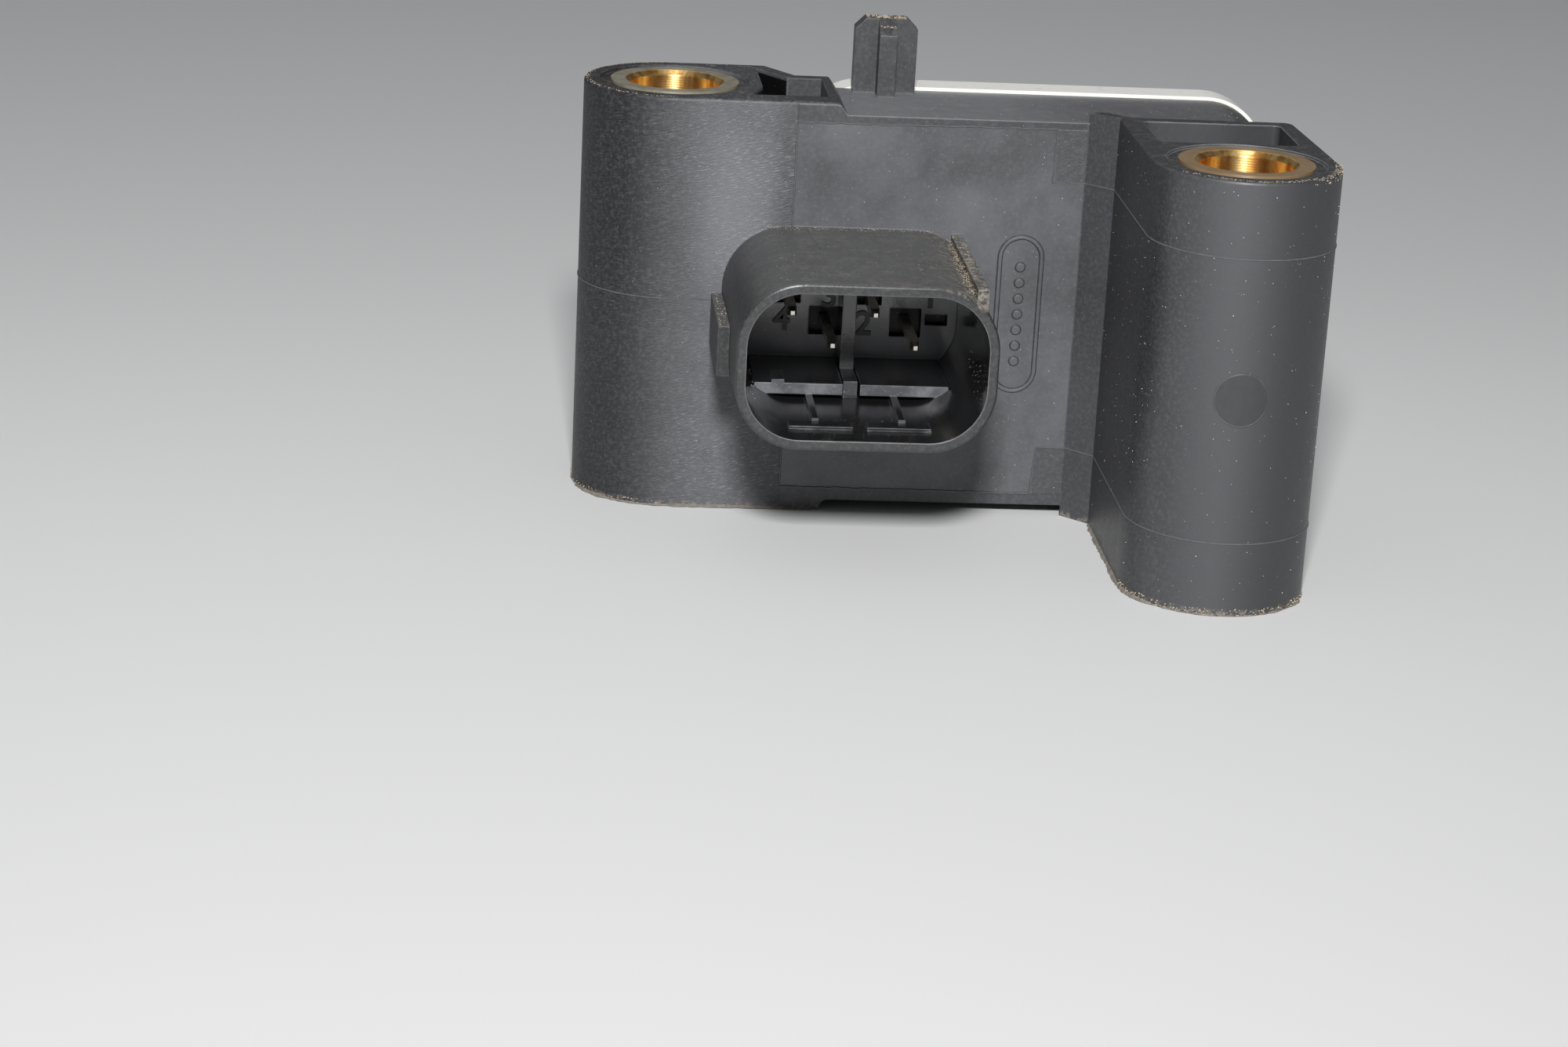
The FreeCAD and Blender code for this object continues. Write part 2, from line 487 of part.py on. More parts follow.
def arc_between(start, end, radius, turn):
    """The short arc from start to end; turn is 1 anticlockwise and -1 clockwise."""
    chord = end - start
    middle = (start + end) * 0.5
    rise = math.sqrt(max(radius ** 2 - chord.Length ** 2 / 4, 0.0))
    normal = FreeCAD.Vector(-chord.y, chord.x, 0).normalize()
    centre = middle + normal * (rise * turn)
    first, last = (start, end) if turn > 0 else (end, start)
    low = math.atan2(first.y - centre.y, first.x - centre.x)
    high = math.atan2(last.y - centre.y, last.x - centre.x)
    circle = Part.Circle(centre, FreeCAD.Vector(0, 0, 1), radius)
    return Part.ArcOfCircle(circle, low, high)


def outline(body, name, role, level, corners, arcs=None):
    """A closed sketch whose corners are pairs of named places.

    level is the expression for the plane's distance along its normal. arcs gives, for
    the side that starts at a corner's number, the named radius and the turn.
    """
    arcs = arcs or {}
    sketch = body.newObject("Sketcher::SketchObject", name)
    attach(sketch, body, role)
    sketch.setExpression("AttachmentOffset.Base.z", level)
    points = [FreeCAD.Vector(value(x), value(y), 0) for x, y in corners]
    count = len(points)
    ends = []
    for side in range(count):
        start = points[side]
        end = points[(side + 1) % count]
        if side in arcs:
            radius, turn = arcs[side]
            sketch.addGeometry(arc_between(start, end, value(radius), turn))
            ends.append((1, 2) if turn > 0 else (2, 1))
        else:
            sketch.addGeometry(Part.LineSegment(start, end))
            ends.append((1, 2))
    for side in range(count):
        following = (side + 1) % count
        sketch.addConstraint(Sketcher.Constraint(
            "Coincident", side, ends[side][1], following, ends[following][0]))
    for side, (x, y) in enumerate(corners):
        vertex = ends[side][0]
        for kind, axis, name_of_place in (("DistanceX", -2, x), ("DistanceY", -1, y)):
            if name_of_place == "zero":
                sketch.addConstraint(Sketcher.Constraint("PointOnObject", side, vertex, axis))
            else:
                number = sketch.addConstraint(Sketcher.Constraint(
                    kind, -1, 1, side, vertex, value(name_of_place)))
                sketch.setExpression(f"Constraints[{number}]", ref(name_of_place))
    for side, (radius, turn) in arcs.items():
        number = sketch.addConstraint(Sketcher.Constraint("Radius", side, value(radius)))
        sketch.setExpression(f"Constraints[{number}]", ref(radius))
    return sketch


def rounded_rectangle(body, name, role, level, rectangle):
    """One of the rectangles with four equal round corners."""
    left, right, low, high, corner = RECTANGLES[rectangle]
    at_left, at_right, at_low, at_high = (
        f"{rectangle}_at_{place}" for place in (left, right, low, high))
    corners = [
        (at_left, low), (at_right, low), (right, at_low), (right, at_high),
        (at_right, high), (at_left, high), (left, at_high), (left, at_low),
    ]
    arcs = {side: (corner, 1) for side in (1, 3, 5, 7)}
    return outline(body, name, role, level, corners, arcs)


def pad(body, name, sketch, length, backwards=False):
    feature = body.newObject("PartDesign::Pad", name)
    feature.Profile = sketch
    feature.setExpression("Length", length)
    feature.Reversed = backwards
    feature.Refine = False
    doc.recompute()
    return feature


def pocket(body, name, sketch, depth, backwards=False):
    """A cut from a sketch; it has to take material away."""
    before = body.Shape.Volume
    feature = body.newObject("PartDesign::Pocket", name)
    feature.Profile = sketch
    feature.setExpression("Length", depth)
    feature.Reversed = backwards
    feature.Refine = False
    doc.recompute()
    if body.Shape.Volume >= before:
        raise ValueError(f"{name} cuts nothing")
    return feature


def block(body, name, x_places, y_places, z_places, cut=False):
    """A box between named places, added to a body or cut from it."""
    kind = "PartDesign::SubtractiveBox" if cut else "PartDesign::AdditiveBox"
    feature = body.newObject(kind, name)
    attach(feature, body, "XY_Plane")
    for size, axis, (low, high) in (
            ("Length", "x", x_places), ("Width", "y", y_places), ("Height", "z", z_places)):
        feature.setExpression(size, span(low, high))
        if low != "zero":
            feature.setExpression(f"AttachmentOffset.Base.{axis}", ref(low))
    feature.Refine = False
    doc.recompute()
    return feature


def drill(body, name, radius, x_place, y_place, low, high):
    """An upright round cut about a named axis, between two named heights."""
    feature = body.newObject("PartDesign::SubtractiveCylinder", name)
    attach(feature, body, "XY_Plane")
    feature.setExpression("Radius", radius)
    feature.setExpression("Height", span(low, high))
    for axis, place in (("x", x_place), ("y", y_place), ("z", low)):
        if place != "zero":
            feature.setExpression(f"AttachmentOffset.Base.{axis}", ref(place))
    feature.Refine = False
    doc.recompute()
    return feature


def round_edges(body, name, radius, chosen):
    """Rounds the edges of a body that the test chooses."""
    base = body.Tip
    edges = [f"Edge{i}" for i, edge in enumerate(base.Shape.Edges, start=1) if chosen(edge)]
    feature = body.newObject("PartDesign::Fillet", name)
    feature.Base = (base, edges)
    feature.setExpression("Radius", ref(radius))
    doc.recompute()
    return feature


def lies_at(edge, **level):
    """Whether an edge lies in the plane x, y or z = the named place."""
    (axis, place), = level.items()
    box = edge.BoundBox
    low, high = getattr(box, axis.upper() + "Min"), getattr(box, axis.upper() + "Max")
    tolerance = 1e-4
    return abs(low - value(place)) < tolerance and abs(high - value(place)) < tolerance


def make_bush(name, x_place, y_place):
    """Turned brass bush with a keying groove and a bevelled bore."""
    body = new_body(name)
    half = [
        ("bush_bevel_radius", "zero"), ("bush_radius", "zero"),
        ("bush_radius", "groove_low"), ("groove_radius", "groove_low"),
        ("groove_radius", "groove_high"), ("bush_radius", "groove_high"),
        ("bush_radius", "boss_height"), ("bush_bevel_radius", "boss_height"),
        ("bore_radius", "bush_bevel_top"), ("bore_radius", "bush_bevel"),
    ]
    sketch = outline(body, name + "_half", "XZ_Plane", "0", half)
    turned = body.newObject("PartDesign::Revolution", name + "_turned")
    turned.Profile = sketch
    turned.ReferenceAxis = (sketch, ["V_Axis"])
    turned.Angle = 360
    for axis, place in (("x", x_place), ("y", y_place)):
        if place != "zero":
            body.setExpression(f"Placement.Base.{axis}", ref(place))
    doc.recompute()
    return body


def make_housing():
    """The one moulding that carries everything."""
    body = new_body("housing")
    add_body_slab(body)
    add_left_block(body)
    add_arm(body)
    round_edges(body, "land_edges", "edge_radius", lambda e: lies_at(e, z="boss_height"))
    add_tab(body)
    add_shroud(body)
    cut_core_outs(body)
    cut_bush_seat(body, "left", "zero", "zero")
    cut_bush_seat(body, "right", "bush_pitch_x", "right_bush_y")
    cut_socket(body)
    cut_chamber(body)
    cut_contact_holes(body)
    return body


def add_body_slab(body):
    """Front face, body top and bottom with their steps, and the rounded right end."""
    profile = [
        ("zero", "zero"), ("land_end", "zero"), ("foot_end", "foot_step"),
        ("body_corner_x", "foot_step"), ("body_right", "body_corner_low"),
        ("body_right", "body_corner_high"), ("body_corner_x", "body_top"),
        ("ramp_foot", "body_top"), ("land_end", "boss_height"), ("zero", "boss_height"),
    ]
    arcs = {1: ("foot_step", -1), 3: ("body_corner", 1), 5: ("body_corner", 1)}
    sketch = outline(body, "slab_profile", "XZ_Plane", "-" + ref("body_back"), profile, arcs)
    pad(body, "slab", sketch, span("front_y", "body_back"))
    root = [
        ("arm_left", "foot_step"), ("body_corner_x", "foot_step"),
        ("body_right", "body_corner_low"), ("body_right", "body_corner_high"),
        ("body_corner_x", "body_top"), ("arm_left", "body_top"),
    ]
    arcs = {1: ("body_corner", 1), 3: ("body_corner", 1)}
    sketch = outline(body, "arm_root_profile", "XZ_Plane", "-" + ref("front_y"), root, arcs)
    pad(body, "arm_root", sketch, f"{ref('arm_land_gap')} + {ref('arm_back_wall')} / 2")


def add_left_block(body):
    """Left boss and its block, seen from above."""
    corners = [
        ("zero", "front_y"), ("land_end", "front_y"), ("land_end", "body_back"),
        ("slant_foot", "body_back"), ("boss_back_run", "boss_back_y"),
        ("zero", "boss_back_y"), ("boss_left_x", "zero"),
    ]
    arcs = {5: ("left_boss_radius", 1), 6: ("left_boss_radius", 1)}
    sketch = outline(body, "left_block_outline", "XY_Plane", "0", corners, arcs)
    pad(body, "left_block", sketch, ref("boss_height"))


def add_arm(body):
    """Gusset, arm and right boss, seen from above."""
    corners = [
        ("gusset_x", "front_y"), ("arm_left", "gusset_y"), ("arm_left", "right_bush_y"),
        ("bush_pitch_x", "arm_front"), ("body_right", "right_bush_y"),
        ("arm_right_back", "arm_corner_y"), ("arm_corner_x", "arm_back"),
        ("gusset_land_back_x", "arm_back"), ("gusset_land_x", "front_y"),
    ]
    arcs = {2: ("right_boss_radius", 1), 3: ("right_boss_radius", 1), 5: ("arm_corner", 1)}
    sketch = outline(body, "arm_outline", "XY_Plane", "0", corners, arcs)
    pad(body, "arm", sketch, ref("boss_height"))


def add_tab(body):
    """Locating tab: two bevelled wings and a front rib with a sloping top."""
    wings = [
        ("tab_left", "tab_root"), ("tab_right", "tab_root"), ("tab_right", "tab_shoulder"),
        ("tab_bevel_right", "tab_top"), ("tab_bevel_left", "tab_top"),
        ("tab_left", "tab_shoulder"),
    ]
    sketch = outline(body, "tab_wings_outline", "XZ_Plane", "-" + ref("body_back"), wings)
    pad(body, "tab_wings", sketch, ref("tab_thickness"))
    rib = [
        ("tab_rib_front", "tab_root"), ("tab_rib_back", "tab_root"),
        ("tab_rib_back", "tab_top"), ("tab_face", "tab_top"), ("tab_rib_front", "tab_rib_top"),
    ]
    sketch = outline(body, "tab_rib_outline", "YZ_Plane", ref("tab_rib_left"), rib)
    pad(body, "tab_rib", sketch, ref("tab_rib_width"))


def add_shroud(body):
    """Plug shroud with its guide fin and coding key, still solid."""
    root = rounded_rectangle(
        body, "shroud_root_outline", "XZ_Plane", "-" + ref("root_y"), "shroud_root")
    mouth = rounded_rectangle(
        body, "shroud_mouth_outline", "XZ_Plane", "-" + ref("mouth_y"), "shroud_mouth")
    loft = body.newObject("PartDesign::AdditiveLoft", "shroud")
    loft.Profile = root
    loft.Sections = [mouth]
    loft.Ruled = True
    doc.recompute()
    round_edges(body, "shroud_rim", "shroud_rim_radius", lambda e: lies_at(e, y="mouth_y"))
    block(body, "guide_fin", ("fin_left", "fin_right"), ("fin_front", "root_y"),
          ("fin_bottom", "fin_top"))
    block(body, "coding_key", ("key_left", "key_right"), ("key_front", "root_y"),
          ("key_bottom", "key_top"))


def cut_core_outs(body):
    """Core-outs that keep the bosses' walls thin, from above and from below."""
    left = [
        ("left_core_lead_x", "left_core_front"), ("left_core_right", "left_core_front"),
        ("left_core_right", "left_core_back"), ("left_core_slant_foot", "left_core_back"),
        ("left_core_start", "left_core_slant_top"), ("left_core_start", "left_core_lead_y"),
    ]
    for end, level in (("upper", ref("upper_core_floor")), ("lower", "0")):
        depth = ref(f"{end}_core_depth")
        sketch = outline(body, f"left_core_{end}_outline", "XY_Plane", level, left)
        pocket(body, f"left_core_{end}", sketch, depth, True)
        sketch = rounded_rectangle(
            body, f"arm_core_{end}_outline", "XY_Plane", level, "arm_core")
        pocket(body, f"arm_core_{end}", sketch, depth, True)


def cut_bush_seat(body, side, x_place, y_place):
    """Seat moulded round a bush: its groove is filled, its ends lie in sunken rings."""
    wide = ref("seat_radius")
    narrow = f"{ref('groove_radius')} + {ref('bush_clearance')}"
    ring = f"{ref('bush_radius')} + {ref('bush_ring_width')}"
    drill(body, f"{side}_seat_low", wide, x_place, y_place, "zero", "seat_key_low")
    drill(body, f"{side}_seat_key", narrow, x_place, y_place, "seat_key_low", "seat_key_high")
    drill(body, f"{side}_seat_high", wide, x_place, y_place, "seat_key_high", "boss_height")
    drill(body, f"{side}_ring_low", ring, x_place, y_place, "zero", "bush_ring_depth")
    drill(body, f"{side}_ring_high", ring, x_place, y_place, "ring_floor", "boss_height")


def cut_socket(body):
    """Plug socket with its tongue plates, ribs, rails, bumps and floor slot."""
    mouth = rounded_rectangle(
        body, "socket_mouth_outline", "XZ_Plane", "-" + ref("mouth_y"), "socket_mouth")
    floor = rounded_rectangle(
        body, "socket_floor_outline", "XZ_Plane", "-" + ref("floor_y"), "socket_floor")
    loft = body.newObject("PartDesign::SubtractiveLoft", "socket")
    loft.Profile = mouth
    loft.Sections = [floor]
    loft.Ruled = True
    doc.recompute()
    depth = ("plate_front", "floor_embed_y")
    height = ("plate_bottom", "plate_top")
    block(body, "left_plate", ("plate_left_end", "plate_left_inner"), depth, height)
    block(body, "right_plate", ("plate_right_inner", "plate_right_end"), depth, height)
    block(body, "floor_rib", ("rib_left", "rib_right"), ("rib_front", "floor_embed_y"),
          ("plate_bottom", "wall_middle_top"))
    block(body, "keel", ("rib_left", "rib_right"), ("keel_front", "floor_embed_y"),
          ("wall_middle_bottom", "plate_top"))
    block(body, "plate_stop", ("stop_left", "stop_right"), ("plate_front", "stop_back"),
          ("stop_foot", "stop_top"))
    for side in ("left", "right"):
        block(body, f"{side}_rail", (f"{side}_rail_low", f"{side}_rail_high"),
              ("rail_front", "rail_back"), ("wall_middle_bottom", "rail_top"))
        block(body, f"{side}_bump", (f"{side}_bump_low", f"{side}_bump_high"),
              ("bump_front", "bump_back"), ("wall_middle_bottom", "bump_top"))
    block(body, "floor_slot", ("slot_left", "slot_right"), ("floor_y", "slot_back"),
          ("slot_bottom", "slot_top"), cut=True)


def cut_chamber(body):
    """Electronics chamber, open at the back, with the ledge for the board."""
    wide = rounded_rectangle(
        body, "chamber_outline", "XZ_Plane", "-" + ref("body_back"), "chamber")
    pocket(body, "chamber", wide, span("board_front", "body_back"), True)
    narrow = rounded_rectangle(
        body, "pit_outline", "XZ_Plane", "-" + ref("board_front"), "pit")
    pocket(body, "pit", narrow, ref("board_standoff"), True)


def cut_contact_holes(body):
    """Sunken squares in the socket floor and the contacts' cranked ways to the board."""
    for name, x_place, z_place in contact_middles:
        upright = (name + "_hole_z_low", name + "_hole_z_high")
        block(body, name + "_pocket", (name + "_pocket_x_low", name + "_pocket_x_high"),
              ("floor_y", "pin_pocket_back"),
              (name + "_pocket_z_low", name + "_pocket_z_high"), cut=True)
        block(body, name + "_hole", (name + "_hole_x_low", name + "_hole_x_high"),
              ("floor_y", "jog_hole_back"), upright, cut=True)
        block(body, name + "_jog_hole", (name + "_hole_x_low", name + "_tail_x_high"),
              ("jog_hole_front", "jog_hole_back"), upright, cut=True)
        block(body, name + "_tail_hole", (name + "_tail_x_low", name + "_tail_x_high"),
              ("jog_hole_front", "board_front"), upright, cut=True)


def make_contact(name, x_place, z_place):
    """Square contact with a tapered tip, cranked sideways to its hole in the board."""
    body = new_body(name)
    tip = body.newObject("PartDesign::AdditiveWedge", name + "_tip")
    attach(tip, body, "XY_Plane")
    half_end = f"{ref('pin_tip_size')} / 2"
    half = f"{ref('pin_size')} / 2"
    for prefix, half_width in (("X", half_end), ("Z", half_end), ("X2", half), ("Z2", half)):
        tip.setExpression(prefix + "max", half_width)
        tip.setExpression(prefix + "min", f"-({half_width})")
    tip.setExpression("Ymin", "0")
    tip.setExpression("Ymax", ref("pin_tip_length"))
    thick = ("pin_low", "pin_high")
    block(body, name + "_shank", thick, ("pin_tip_length", "pin_jog_back"), thick)
    block(body, name + "_jog", ("pin_low", "pin_jog_high"), ("pin_jog_front", "pin_jog_back"),
          thick)
    block(body, name + "_tail", ("pin_jog_low", "pin_jog_high"), ("pin_jog_front", "pin_end"),
          thick)
    body.setExpression("Placement.Base.x", ref(x_place))
    body.setExpression("Placement.Base.y", ref("pin_tip_y"))
    body.setExpression("Placement.Base.z", ref(z_place))
    doc.recompute()
    return body


def make_board():
    """Circuit board with plated holes for the contacts."""
    body = new_body("circuit_board")
    sketch = rounded_rectangle(
        body, "board_outline", "XZ_Plane", "-" + ref("board_back"), "board")
    pad(body, "board", sketch, ref("board_thickness"))
    for name, x_place, z_place in contact_middles:
        hole = body.newObject("PartDesign::SubtractiveCylinder", name + "_board_hole")
        attach(hole, body, "XZ_Plane")
        hole.setExpression("Radius", f"{ref('board_hole')} / 2")
        hole.setExpression("Height", ref("board_thickness"))
        hole.setExpression("AttachmentOffset.Base.x", ref(name + "_tail_x"))
        hole.setExpression("AttachmentOffset.Base.y", ref(z_place))
        hole.setExpression("AttachmentOffset.Base.z", "-" + ref("board_back"))
    doc.recompute()
    return body


def make_cover():
    """Welded back cover: a shallow hollow plate with a rim that holds the board."""
    body = new_body("rear_cover")
    sketch = rounded_rectangle(
        body, "cover_outline", "XZ_Plane", "-" + ref("body_back"), "cover")
    pad(body, "cover_plate", sketch, ref("cover_thickness"), True)
    round_edges(body, "cover_edges", "cover_edge_radius", lambda e: lies_at(e, y="cover_back"))
    sketch = rounded_rectangle(
        body, "rim_outline", "XZ_Plane", "-" + ref("body_back"), "rim")
    pad(body, "rim", sketch, span("rim_front", "body_back"))
    sketch = rounded_rectangle(
        body, "hollow_outline", "XZ_Plane", "-" + ref("rim_front"), "hollow")
    depth = f"{span('rim_front', 'body_back')} + {ref('cover_thickness')} - {ref('cover_skin')}"
    pocket(body, "hollow", sketch, depth)
    return body


def lay_on_board(thing, x_expression, z_expression):
    """Stands a piece on the board's back face, its own +Z pointing backwards."""
    turn = FreeCAD.Rotation(FreeCAD.Vector(1, 0, 0), -90)
    thing.Placement = FreeCAD.Placement(FreeCAD.Vector(0, 0, 0), turn)
    thing.setExpression("Placement.Base.x", x_expression)
    thing.setExpression("Placement.Base.y", ref("board_back"))
    thing.setExpression("Placement.Base.z", z_expression)


def make_chip_part(name):
    """Small two-ended part: a slim body between two slightly thicker end caps."""
    long, wide, tall, end = (ref(f"{name}_{field}") for field in CHIP_FIELDS[:4])
    lip = ref("cap_lip")
    rows = [
        ("body", long, f"{wide} - 2 * {lip}", f"{tall} - 2 * {lip}", f"-{long} / 2", lip),
        ("left_cap", end, wide, tall, f"-{long} / 2", "0"),
        ("right_cap", end, wide, tall, f"{long} / 2 - {end}", "0"),
    ]
    boxes = []
    for part, size_x, size_y, size_z, start_x, start_z in rows:
        box = doc.addObject("Part::Box", f"{name}_{part}")
        box.setExpression("Length", size_x)
        box.setExpression("Width", size_y)
        box.setExpression("Height", size_z)
        box.setExpression("Placement.Base.x", start_x)
        box.setExpression("Placement.Base.y", f"-({size_y}) / 2")
        box.setExpression("Placement.Base.z", start_z)
        boxes.append(box)
    whole = doc.addObject("Part::MultiFuse", name)
    whole.Label = name
    whole.Shapes = boxes
    lay_on_board(whole, f"{ref('shroud_x')} + {ref(name + '_right')}",
                 f"{ref('shroud_z')} + {ref(name + '_above')}")
    doc.recompute()
    return whole


def make_leaded_chip(name):
    """Chip with a row of bent leads along each long side."""
    body = new_body(name)
    block(body, name + "_case", (name + "_left", name + "_right"),
          (name + "_front", name + "_back"), ("chip_lift", "chip_top"))
    for side in ("front", "back"):
        root, knee, bend, toe = (
            f"{name}_{side}_{place}" for place in ("root", "knee", "bend", "toe"))
        profile = [
            (root, "lead_height"), (knee, "lead_height"), (knee, "zero"), (toe, "zero"),
            (toe, "lead_thickness"), (bend, "lead_thickness"), (bend, "lead_top"),
            (root, "lead_top"),
        ]
        sketch = outline(body, f"{name}_{side}_lead_outline", "YZ_Plane",
                         ref(name + "_first_lead"), profile)
        lead = pad(body, f"{name}_{side}_lead", sketch, ref("lead_width"))
        row = body.newObject("PartDesign::LinearPattern", f"{name}_{side}_leads")
        row.Originals = [lead]
        row.Direction = (sketch, ["N_Axis"])
        row.setExpression("Length", f"({ref(name + '_leads')} - 1) * {ref('lead_pitch')}")
        row.setExpression("Occurrences", ref(name + "_leads"))
        body.Tip = row
        doc.recompute()
    lay_on_board(body, ref("chips_x"), f"{ref('chips_z')} + {ref(name + '_above')}")
    doc.recompute()
    return body


def make_solder():
    """Solder cones round the contacts on the board's back, as one group."""
    joints = []
    for name, x_place, z_place in contact_middles:
        cone = doc.addObject("Part::Cone", name + "_cone")
        cone.setExpression("Radius1", f"{ref('solder_base')} / 2")
        cone.setExpression("Radius2", f"{ref('solder_top')} / 2")
        cone.setExpression("Height", ref("solder_height"))
        gap = doc.addObject("Part::Box", name + "_cone_gap")
        for prop in ("Length", "Width"):
            gap.setExpression(prop, ref("pin_size"))
        gap.setExpression("Height", ref("solder_height"))
        for axis in "xy":
            gap.setExpression(f"Placement.Base.{axis}", f"-{ref('pin_size')} / 2")
        joint = doc.addObject("Part::Cut", name + "_joint")
        joint.Base = cone
        joint.Tool = gap
        lay_on_board(joint, ref(name + "_tail_x"), ref(z_place))
        joints.append(joint)
    group = doc.addObject("Part::Compound", "solder_joints")
    group.Label = "solder_joints"
    group.Links = joints
    doc.recompute()
    return group


contact_middles = [(name, name + "_x", row) for name, steps, row in CONTACTS]
nodes = [make_housing()]
nodes.append(make_bush("left_bush", "zero", "zero"))
nodes.append(make_bush("right_bush", "bush_pitch_x", "right_bush_y"))
nodes.append(make_cover())
nodes.extend(make_contact(*row) for row in contact_middles)
nodes.append(make_board())
nodes.extend(make_leaded_chip(row[0]) for row in LEADED_CHIPS)
nodes.extend(make_chip_part(row[0]) for row in CHIP_PARTS)
nodes.append(make_solder())
doc.recompute()

for thing in doc.Objects:
    if "Invalid" in thing.State or "Error" in thing.State:
        raise ValueError(f"{thing.Name} failed: {thing.State}")
for node in nodes:
    if node.Shape.isNull() or not node.Shape.isValid():
        raise ValueError(f"{node.Label} has no valid shape")

os.makedirs("parts", exist_ok=True)
for node in nodes:
    node.Shape.exportStep(f"parts/{node.Label}.step")
    box = node.Shape.BoundBox
    print(f"{node.Label}: {node.Shape.Volume:.2f} mm3, {len(node.Shape.Solids)} solid(s), "
          f"x {box.XMin:.2f} to {box.XMax:.2f}, y {box.YMin:.2f} to {box.YMax:.2f}, "
          f"z {box.ZMin:.2f} to {box.ZMax:.2f}")
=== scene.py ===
import json
import math
import random

import bpy
import numpy as np
from mathutils import Matrix, Vector


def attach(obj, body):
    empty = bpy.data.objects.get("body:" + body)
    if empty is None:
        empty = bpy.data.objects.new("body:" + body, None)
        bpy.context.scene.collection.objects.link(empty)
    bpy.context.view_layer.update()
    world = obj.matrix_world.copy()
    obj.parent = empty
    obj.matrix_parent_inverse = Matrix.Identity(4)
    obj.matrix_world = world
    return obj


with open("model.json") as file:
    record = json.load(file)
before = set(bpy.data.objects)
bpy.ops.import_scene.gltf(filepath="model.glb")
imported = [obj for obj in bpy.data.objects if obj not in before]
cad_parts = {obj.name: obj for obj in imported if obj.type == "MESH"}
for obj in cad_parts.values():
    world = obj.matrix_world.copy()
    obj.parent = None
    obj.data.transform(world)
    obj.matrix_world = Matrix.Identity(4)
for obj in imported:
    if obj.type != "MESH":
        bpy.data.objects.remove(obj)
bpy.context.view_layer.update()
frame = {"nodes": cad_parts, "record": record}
MM = 0.001

# Places on the moulding, in millimetres, in the part's own frame
FRONT_Y = -6.5
BOSS_HEIGHT = 30.0
BODY_TOP = 29.15
TAB_TOP = 34.6
LEFT_BOSS_R = 6.5
RIGHT_BOSS = (37.3, -21.4)  # x and y
RIGHT_BOSS_R = 6.4
ARM_LEFT = 30.9
GUSSET = ((29.05, -6.5), (30.9, -8.35))  # x and y of both ends
ARM_RIGHT_BACK = (43.25, -8.8)  # x and y
SOCKET_FLOOR_Y = -5.5
SHROUD_MIDDLE = (12.6, 15.1)  # x and z
SHROUD_STRAIGHT = (4.4, 1.3)  # half of its straight sides along x and z
PANEL_X = (8.4, 29.0)
PANEL_Z = (1.65, 28.6)
NOTCH_X = 26.9
UPPER_SEAM_Z = 24.8
LOWER_SEAM_Z = 5.15
LEFT_SEAM_Z = 15.5
MARK_X = 24.88
DOT_R = 0.42

# Linear tones of the black plastic, darkest and lightest of each area
HOUSING_TONES = (0.030, 0.054)
# Painted shade: the left boss's flank, turned from the flash, darker than the rest and lighter
# towards its foot
SHADED_FLANK_TONES = (0.012, 0.020)
SHADED_FLANK_FOOT_TONES = (0.017, 0.028)
# The coarse brushed zone of the left boss, lightened by a painted highlight where it faces the
# flash
BRUSHED_AND_LIT_TONES = (0.050, 0.104)
# Painted light: the right boss's front, lighter where it turns towards the flash
BOSS_LIT_TONES = (0.036, 0.055)
PANEL_TONES = (0.050, 0.102)
# Painted shade on the shroud's sides
SHADED_SHROUD_TONES = (0.014, 0.024)
DUSTY_TONES = (0.045, 0.078)
TOP_TONES = (0.120, 0.180)

# Single tones
# Painted highlight on the brushed zone of the left boss
HIGHLIGHT_PATCH_TONE = 0.17
# Painted shade on the arm's left side, which the flash only grazes
ARM_SIDE_SHADE_TONE = 0.014
STAIN_TONE = 0.040
NOTCH_TONE = 0.042
TOP_RIGHT_TONE = 0.060
# Painted shade on the tops of the bosses
SHADED_LAND_TONE = 0.018
TAB_TONE = 0.02
TAB_FILM_TONE = 0.10
# Painted glints on the brushed plastic
PAINTED_GLINT_TONE = 0.34
# Inside the socket: painted shade on the sides and upward faces, painted light on the front faces
SOCKET_SHADE_TONE = 0.008
SOCKET_UP_SHADE_TONE = 0.010
SOCKET_LIT_TONE = 0.056
# Painted light on the socket floor, standing in for light thrown back from the table
SOCKET_BOUNCE_LIT_TONE = 0.16
# Painted highlight on the tongues' front edges
TONGUE_HIGHLIGHT_TONE = 0.16
# Painted shade on the socket's middle rib
RIB_SHADE_TONE = 0.012
RIM_TONE = 0.030
# Painted highlight on the rounded edges, partly wear
EDGE_HIGHLIGHT_TONE = 0.26
# Painted shade in the deep contact pockets
HOLE_SHADE_TONE = 0.003
# Painted shade in the core-out recess
CORE_SHADE_TONE = 0.004
FINE_TONE = 0.15
SPECK_TONE = 0.42
DUST_COLOR = (0.36, 0.31, 0.24, 1.0)


# Shader helpers

